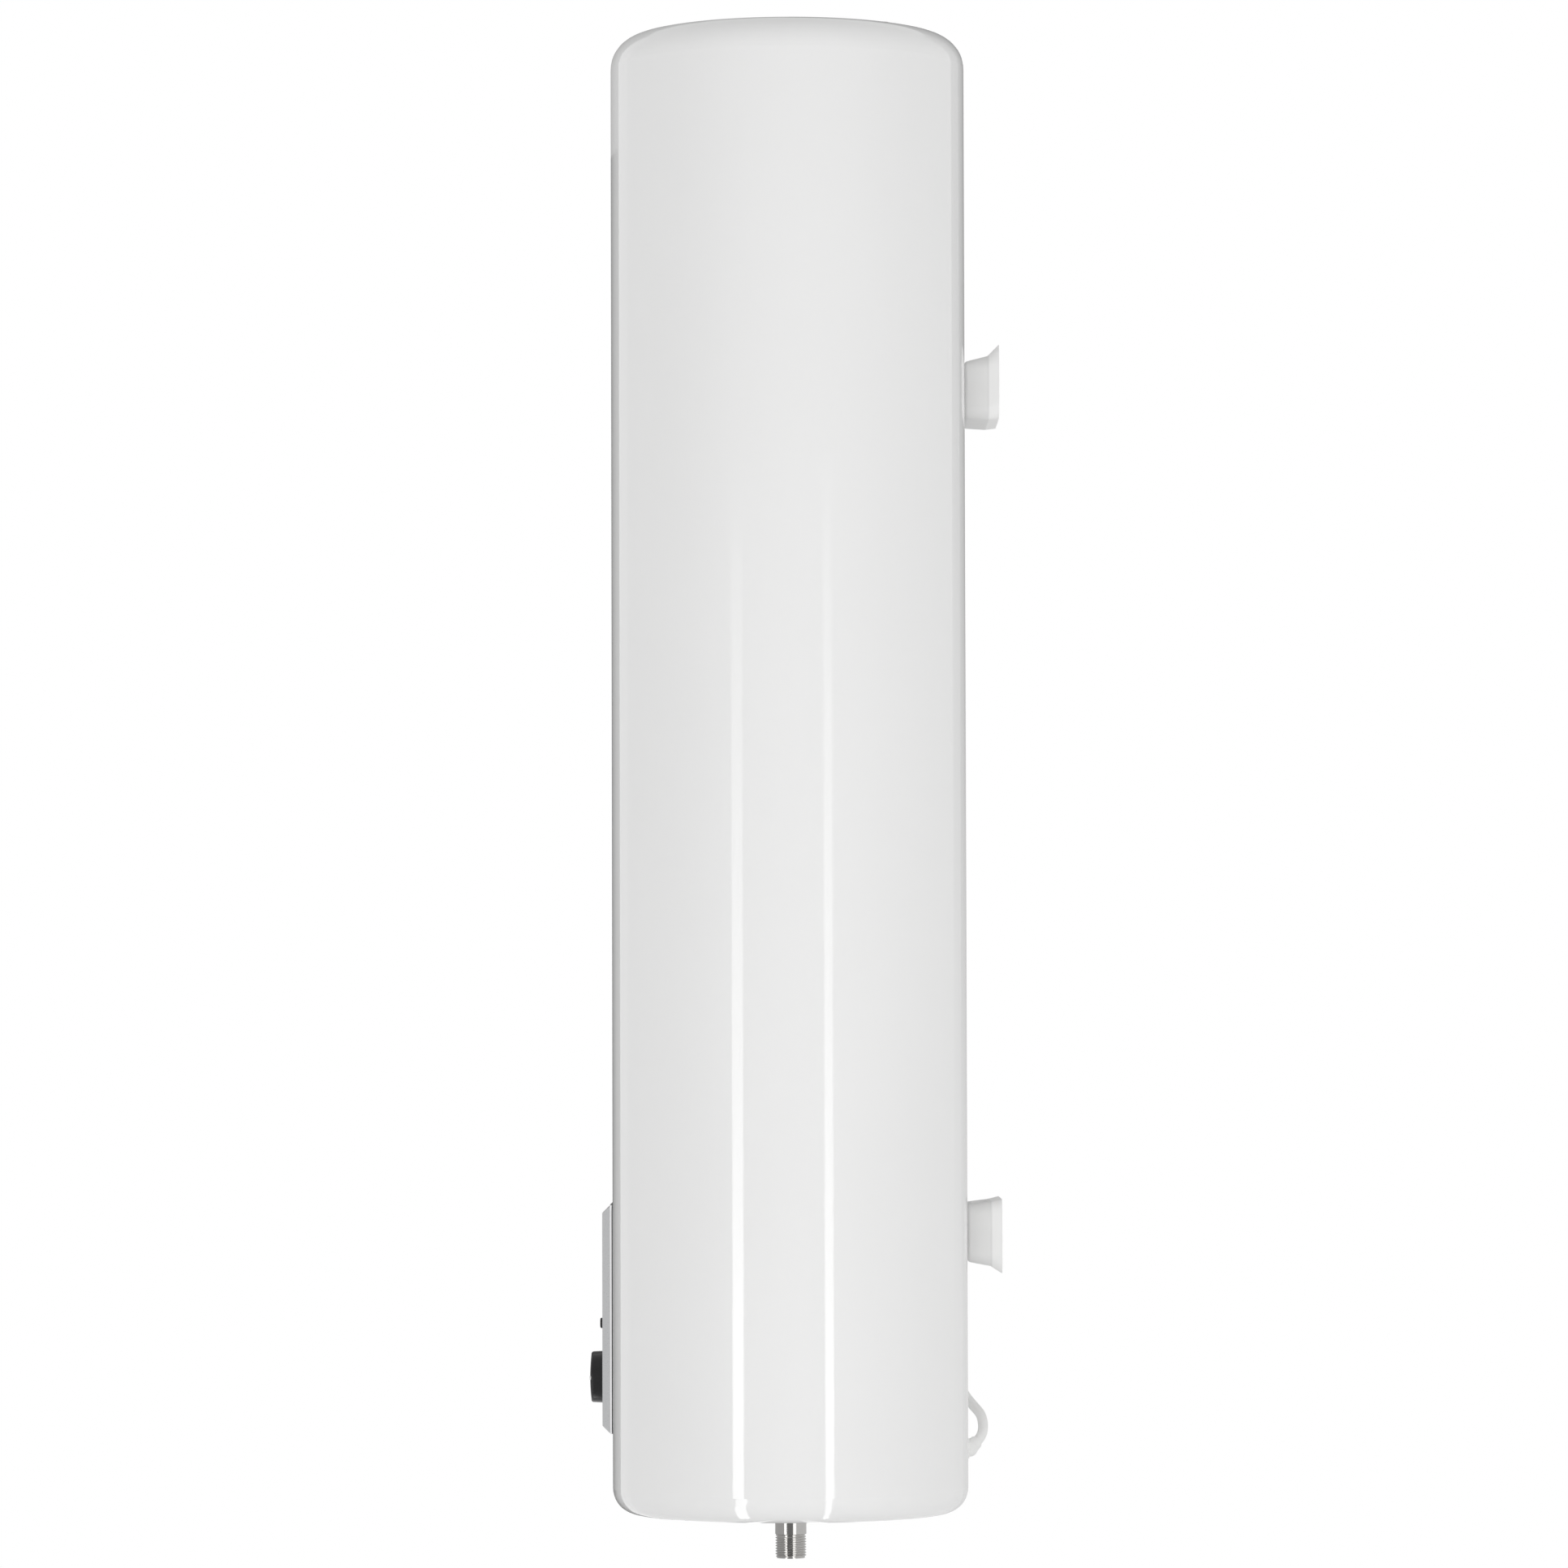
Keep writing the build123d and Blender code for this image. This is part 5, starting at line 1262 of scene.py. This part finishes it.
@dataclass
class MainsLead:
    """The white mains lead: up the far back corner, over the top edge and into a tied coil.

    The points of its climb and its tail are in millimetres.
    """

    radius: float = 3.5 * MM
    coil_radius: float = 42.0 * MM
    coil_pitch: float = 7.6 * MM
    coil_turns: float = 3.5
    climb_turns: float = 0.5
    points_per_turn: int = 18
    length: float = 2.01
    first_run: float = 8.5 * MM
    gland: Point = (-85.0 * MM, -19.6 * MM, -763.1 * MM)
    nose: float = 8.0 * MM
    tilt: float = math.radians(40.0)
    swing: float = math.radians(35.0)
    climb: tuple[Point, ...] = (
        (-110.0, -9.6, -741.6),
        (-125.0, -15.5, -735.6),
        (-139.0, -24.5, -724.6),
        (-149.5, -30.0, -701.6),
        (-151.5, -30.7, -646.6),
        (-153.0, -31.3, -541.6),
        (-153.8, -31.8, -426.6),
        (-154.3, -32.0, -306.6),
        (-154.6, -32.0, -199.6),
        (-155.3, -32.3, -101.6),
        (-155.8, -32.4, -3.6),
        (-156.1, -32.6, 85.4),
        (-156.6, -32.9, 145.4),
        (-157.1, -33.8, 189.4),
        (-157.7, -42.5, 218.4),
        (-158.6, -73.0, 228.9),
        (-159.6, -110.0, 215.4),
        (-159.0, -151.0, 210.1),
        (-159.0, -193.0, 210.1),
    )
    tail: tuple[Point, ...] = (
        (-75.0, -193.0, 217.7),
        (-75.0, -176.0, 217.7),
        (-76.0, -150.0, 223.2),
        (-76.0, -134.0, 223.2),
    )

    def coil_points(self) -> list[Vector]:
        """Points of the two-layer coil, which spirals in, climbs and spirals out.

        Returns:
            Control points in metres, from the lead's side to the plug's side.
        """
        entry = Vector(self.climb[-1]) * MM
        centre = entry + Vector((self.coil_radius, -2 * self.radius, 0.0))
        rise = self.tail[0][2] * MM - entry.z
        steps = int(self.points_per_turn * self.coil_turns)
        swell = 1 / math.cos(math.pi / self.points_per_turn)
        points = []
        for step in range(steps + 1):
            turn = self.coil_turns * step / steps
            radius = swell * (self.coil_radius - self.coil_pitch * min(turn, self.coil_turns - turn))
            angle = math.pi + math.tau * turn
            part_way = (turn - (self.coil_turns - self.climb_turns) / 2) / self.climb_turns
            climbed = (1 - math.cos(math.pi * min(max(part_way, 0.0), 1.0))) / 2
            spot = (radius * math.cos(angle), radius * math.sin(angle), rise * climbed)
            points.append(centre + Vector(spot))
        return points

    def outward(self) -> Vector:
        """Direction in which the gland's nose points."""
        level = math.cos(self.swing)
        return Vector((-math.sin(self.swing), level * math.cos(self.tilt), level * math.sin(self.tilt)))

    def exit_point(self) -> Vector:
        """Where the lead leaves the gland's nose."""
        return Vector(self.gland) + self.outward() * self.nose

    def route(self) -> list[Vector]:
        """All control points of the lead from the gland to the plug.

        Returns:
            The points, in metres.
        """
        start = self.exit_point()
        points = [start, start + self.outward() * self.first_run]
        points += [Vector(p) * MM for p in self.climb]
        points += self.coil_points()
        points += [Vector(p) * MM for p in self.tail]
        return points

    def build(self) -> bpy.types.Object:
        """Make the lead as one round curve that stands for the frame's three runs of it.

        Returns:
            The curve.
        """
        curve = bpy.data.curves.new("mains_lead", "CURVE")
        curve.dimensions = "3D"
        curve.bevel_depth = self.radius
        curve.bevel_resolution = 6
        curve.use_fill_caps = True
        points = self.route()
        spline = curve.splines.new("NURBS")
        spline.points.add(len(points) - 1)
        for knot, point in zip(spline.points, points):
            knot.co = (*point, 1.0)
        spline.order_u = 3
        spline.use_endpoint_u = True
        spline.resolution_u = 6
        lead = add_object("mains_lead", curve)
        dress(lead, LEAD_PVC)
        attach(lead, FIXED_BODY)
        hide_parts("power_cord", "cord_coil", "cord_tail")
        return lead


@dataclass(frozen=True)
class Board:
    """An upright curved board that shows in the heater's reflections alone.

    Angles are in degrees from +X towards +Y, seen from the board's own centre on the heater's middle plane.
    A board with a fade dims towards its upper edge, down to its least strength. Below its lower edge it goes
    on under the heater, as far as the deepest tilt of the surface that still shows it.
    """

    name: str
    start: float
    end: float
    low: float
    high: float
    strength: float
    reach: float = 2.9
    centre_x: float = 0.0
    fade: float = 0.0
    least: float = 0.0
    deepest: float = 72.0
    step: float = 4.0
    tilt_step: float = 6.0

    def point(self, angle: float, tilt: float) -> Vector:
        """Where the board is met after a surface that faces half the angle and dips by the tilt.

        The eye looks along -X, so a board on these points keeps its edges upright down the rolled end.

        Args:
            angle: Where the board is, in degrees.
            tilt: How far the surface dips, in degrees.

        Returns:
            The point, in metres.
        """
        facing = math.radians(angle) / 2
        dip = math.radians(tilt)
        flat = math.cos(dip) * math.cos(facing)
        across = 2 * flat * math.cos(dip) * math.sin(facing)
        way = Vector((2 * flat * flat - 1, across, -2 * flat * math.sin(dip)))
        return Vector((self.centre_x, BODY_Y, self.low)) + way * self.reach

    def column(self, angle: float) -> list[Vector]:
        """Points of the board from its upper edge down.

        Args:
            angle: Where on the board, in degrees.

        Returns:
            The points, in metres.
        """
        points = [self.point(angle, 0.0)]
        points.insert(0, Vector((*points[0].xy, self.high)))
        steps = int(self.deepest / self.tilt_step)
        points += [self.point(angle, self.tilt_step * (i + 1)) for i in range(steps)]
        return points

    def mesh(self) -> bpy.types.Mesh:
        """The board as strips of faces.

        Returns:
            An open mesh.
        """
        steps = max(2, int(abs(self.end - self.start) / self.step))
        turn = (self.end - self.start) / steps
        columns = [self.column(self.start + turn * step) for step in range(steps + 1)]
        count = len(columns[0])
        faces = []
        for step in range(steps):
            for row in range(count - 1):
                corner = step * count + row
                faces.append((corner, corner + 1, corner + count + 1, corner + count))
        mesh = bpy.data.meshes.new(self.name)
        mesh.from_pydata([point for column in columns for point in column], [], faces)
        return mesh

    def build(self) -> bpy.types.Object:
        """Make the board glow and hide it from all but reflections.

        Returns:
            The board, which is not part of the object.
        """
        mesh = self.mesh()
        board = add_object(self.name, mesh)
        material = bpy.data.materials.new(self.name)
        material.use_nodes = True
        graph = Graph(material.node_tree)
        tone: Any = WHITE
        if self.fade:
            place = graph.make("ShaderNodeTexCoord", output="Object")
            height = graph.make("ShaderNodeSeparateXYZ", sockets={0: place}, output="Z")
            share = ((self.high - height) / self.fade).clamped()
            least = self.least / self.strength
            tone = least + share * (1.0 - least)
        light = graph.make("ShaderNodeEmission", sockets={"Color": tone, "Strength": self.strength})
        graph.tree.links.new(light.socket, graph.tree.nodes["Material Output"].inputs["Surface"])
        mesh.materials.append(material)
        board.visible_camera = False
        board.visible_shadow = False
        board.visible_diffuse = False
        board.visible_transmission = False
        return board


BOARD_LOW = -0.79
BOARD_HIGH = 2.4
FRONT_BREAK = 0.50
REAR_BREAK = 0.30
EYE_GLOW = 0.92
STUB_LOW = -1.0
STUB_HIGH = -0.7915
STRIP: dict[str, float] = {"reach": 2.5, "centre_x": 0.10, "least": EYE_GLOW, "deepest": 54.0}
STUB_RING: dict[str, float] = {"reach": 0.045, "centre_x": 0.05, "deepest": 0.0}
BOARDS = (
    Board("front_strip", -36.6, -29.4, BOARD_LOW, 0.12, 5.8, fade=0.90, **STRIP),
    Board("rear_strip", 21.8, 27.4, BOARD_LOW, 0.16, 5.4, fade=1.0, **STRIP),
    Board("eye_board", -124.0, 131.0, BOARD_LOW, BOARD_HIGH, EYE_GLOW),
    Board("front_edge", -140.6, -124.5, BOARD_LOW, BOARD_HIGH, 1.05),
    Board("front_dark", -180.0, -140.9, BOARD_LOW, FRONT_BREAK, 0.12),
    Board("front_soft", -180.0, -140.9, FRONT_BREAK, BOARD_HIGH, 0.38, deepest=0.0),
    Board("rear_grey", 131.5, 146.0, BOARD_LOW, REAR_BREAK, 0.85, fade=1.1, least=0.45),
    Board("rear_dark", 146.5, 180.0, BOARD_LOW, REAR_BREAK, 0.72, fade=1.1, least=0.24),
    Board("rear_grey_top", 131.5, 146.0, REAR_BREAK, BOARD_HIGH, 0.45, deepest=0.0),
    Board("rear_dark_top", 146.5, 180.0, REAR_BREAK, BOARD_HIGH, 0.24, deepest=0.0),
    Board("stub_front", -180.0, -44.5, STUB_LOW, STUB_HIGH, 0.42, **STUB_RING),
    Board("stub_line", -44.0, -28.7, STUB_LOW, STUB_HIGH, 1.6, **STUB_RING),
    Board("stub_eye", -28.2, 15.0, STUB_LOW, STUB_HIGH, 0.18, **STUB_RING),
    Board("stub_glint", 15.5, 35.0, STUB_LOW, STUB_HIGH, 1.5, **STUB_RING),
    Board("stub_rear", 35.5, 180.0, STUB_LOW, STUB_HIGH, 0.62, **STUB_RING),
)


@dataclass(frozen=True)
class Lamp:
    """A square soft light that shows in no reflection."""

    name: str
    place: Point
    size: float
    power: float
    target: Point = (0.0, BODY_Y, -0.3)

    def build(self) -> bpy.types.Object:
        """Set up the light and aim it.

        Returns:
            The lamp.
        """
        data = bpy.data.lights.new(self.name, "AREA")
        data.shape = "SQUARE"
        data.size = self.size
        data.energy = self.power
        light = add_object(self.name, data)
        light.location = self.place
        way = Vector(self.target) - Vector(self.place)
        light.rotation_euler = way.to_track_quat("-Z", "Y").to_euler()
        light.visible_glossy = False
        return light


LAMPS = (
    Lamp("eye_side", (4.0, -0.3, -0.7), 2.0, 24.2),
    Lamp("key", (2.6, -2.8, 0.8), 1.8, 12.6),
    Lamp("fill", (2.4, 2.6, 0.2), 1.8, 18.9),
    Lamp("under", (2.3, BODY_Y, -1.06), 0.9, 8.0, (0.1, BODY_Y, -0.75)),
    Lamp("front", (-1.6, -3.2, 0.8), 1.6, 17.0),
    Lamp("back", (-1.8, 2.6, 1.4), 1.6, 16.0),
)


@dataclass
class Studio:
    """Camera, floor, white surround and soft light."""

    image_px: float = 1932.0
    focal_px: float = 8548.0
    sensor: float = 36.0
    eye: Point = (4.796, BODY_Y, -0.4711)
    pitch: float = math.radians(2.05)
    roll: float = math.radians(-0.15)
    centre_shift_px: float = -6.0
    ambient: float = 0.48
    floor_drop: float = 0.30
    floor_radius: float = 3.2
    floor_colour: Colour = (0.82, 0.82, 0.82)
    floor_roughness: float = 0.9
    floor_glow: float = 0.12
    floor_sides: int = 96
    fade_start: float = 0.35
    fade_rate: float = 1.7

    def camera(self) -> bpy.types.Object:
        """Set up the camera at the photograph's place.

        Returns:
            The camera object.
        """
        data = bpy.data.cameras.new("camera")
        data.sensor_width = self.sensor
        data.lens = self.focal_px * self.sensor / self.image_px
        data.shift_x = self.centre_shift_px / self.image_px
        eye = add_object("camera", data)
        turn = Matrix.Rotation(math.pi / 2, 4, "Z") @ Matrix.Rotation(math.pi / 2 + self.pitch, 4, "X")
        eye.matrix_world = Matrix.Translation(self.eye) @ turn @ Matrix.Rotation(self.roll, 4, "Z")
        bpy.context.scene.camera = eye
        return eye

    def surround(self) -> None:
        """A white world for the eye and for reflections, and even soft light for everything else."""
        world = bpy.data.worlds.new("surround")
        world.use_nodes = True
        bpy.context.scene.world = world
        graph = Graph(world.node_tree)
        path = graph.tree.nodes.new("ShaderNodeLightPath")
        seen = Wire(graph, path.outputs["Is Camera Ray"])
        seen = seen.most(Wire(graph, path.outputs["Is Glossy Ray"]))
        seen = seen.most(Wire(graph, path.outputs["Is Transmission Ray"]))
        back = graph.tree.nodes["Background"]
        graph.plug(back.inputs["Color"], WHITE)
        graph.plug(back.inputs["Strength"], self.ambient + seen * (1.0 - self.ambient))

    def floor(self) -> bpy.types.Object:
        """A pale round floor that fades to white at its rim and can be looked through from below.

        Returns:
            The floor, which is not part of the object.
        """
        mesh = bpy.data.meshes.new("floor")
        shape = bmesh.new()
        bmesh.ops.create_circle(shape, cap_ends=True, segments=self.floor_sides, radius=self.floor_radius)
        shape.to_mesh(mesh)
        shape.free()
        floor = add_object("floor", mesh)
        floor.location = (0.0, BODY_Y, CAD_BOX[0][2] - self.floor_drop)
        material = bpy.data.materials.new("floor")
        material.use_nodes = True
        graph = Shading(material)
        graph.set(Base_Color=(*self.floor_colour, 1.0), Roughness=self.floor_roughness)
        graph.set(Emission_Color=WHITE, Emission_Strength=self.floor_glow)
        away = graph.make("ShaderNodeVectorMath", {"operation": "LENGTH"}, {0: graph.place}, "Value")
        fade = ((away / self.floor_radius - self.fade_start) * self.fade_rate).clamped()
        glow = graph.make("ShaderNodeEmission", sockets={"Color": WHITE, "Strength": 1.0})
        path = graph.tree.nodes.new("ShaderNodeLightPath")
        seen = Wire(graph, path.outputs["Is Camera Ray"]).most(Wire(graph, path.outputs["Is Glossy Ray"]))
        diffuse = Wire(graph, graph.shader.outputs["BSDF"])
        mixed = graph.make("ShaderNodeMixShader", sockets={0: fade * seen, 1: diffuse, 2: glow})
        below = graph.make("ShaderNodeNewGeometry", output="Backfacing")
        clear = graph.make("ShaderNodeBsdfTransparent")
        shown = graph.make("ShaderNodeMixShader", sockets={0: below, 1: mixed, 2: clear})
        graph.tree.links.new(shown.socket, graph.tree.nodes["Material Output"].inputs["Surface"])
        mesh.materials.append(material)
        floor.visible_glossy = False
        return floor

    def build(self) -> None:
        """Put the whole studio together."""
        bpy.context.scene.view_settings.view_transform = "Standard"
        self.camera()
        self.surround()
        self.floor()
        for lamp in LAMPS:
            lamp.build()
        for board in BOARDS:
            board.build()


def main() -> None:
    """Build the studio and every sub-assembly in order."""
    logging.basicConfig(level=logging.INFO, format="%(name)s: %(message)s")
    dress_frame()
    PlugGrip().build()
    lead = MainsLead().build()
    LOG.info("%s", lead.name)
    PipeStubs().build()
    Fasteners().build()
    ControlPanel().build()
    Studio().build()


if __name__ == "__main__":
    main()
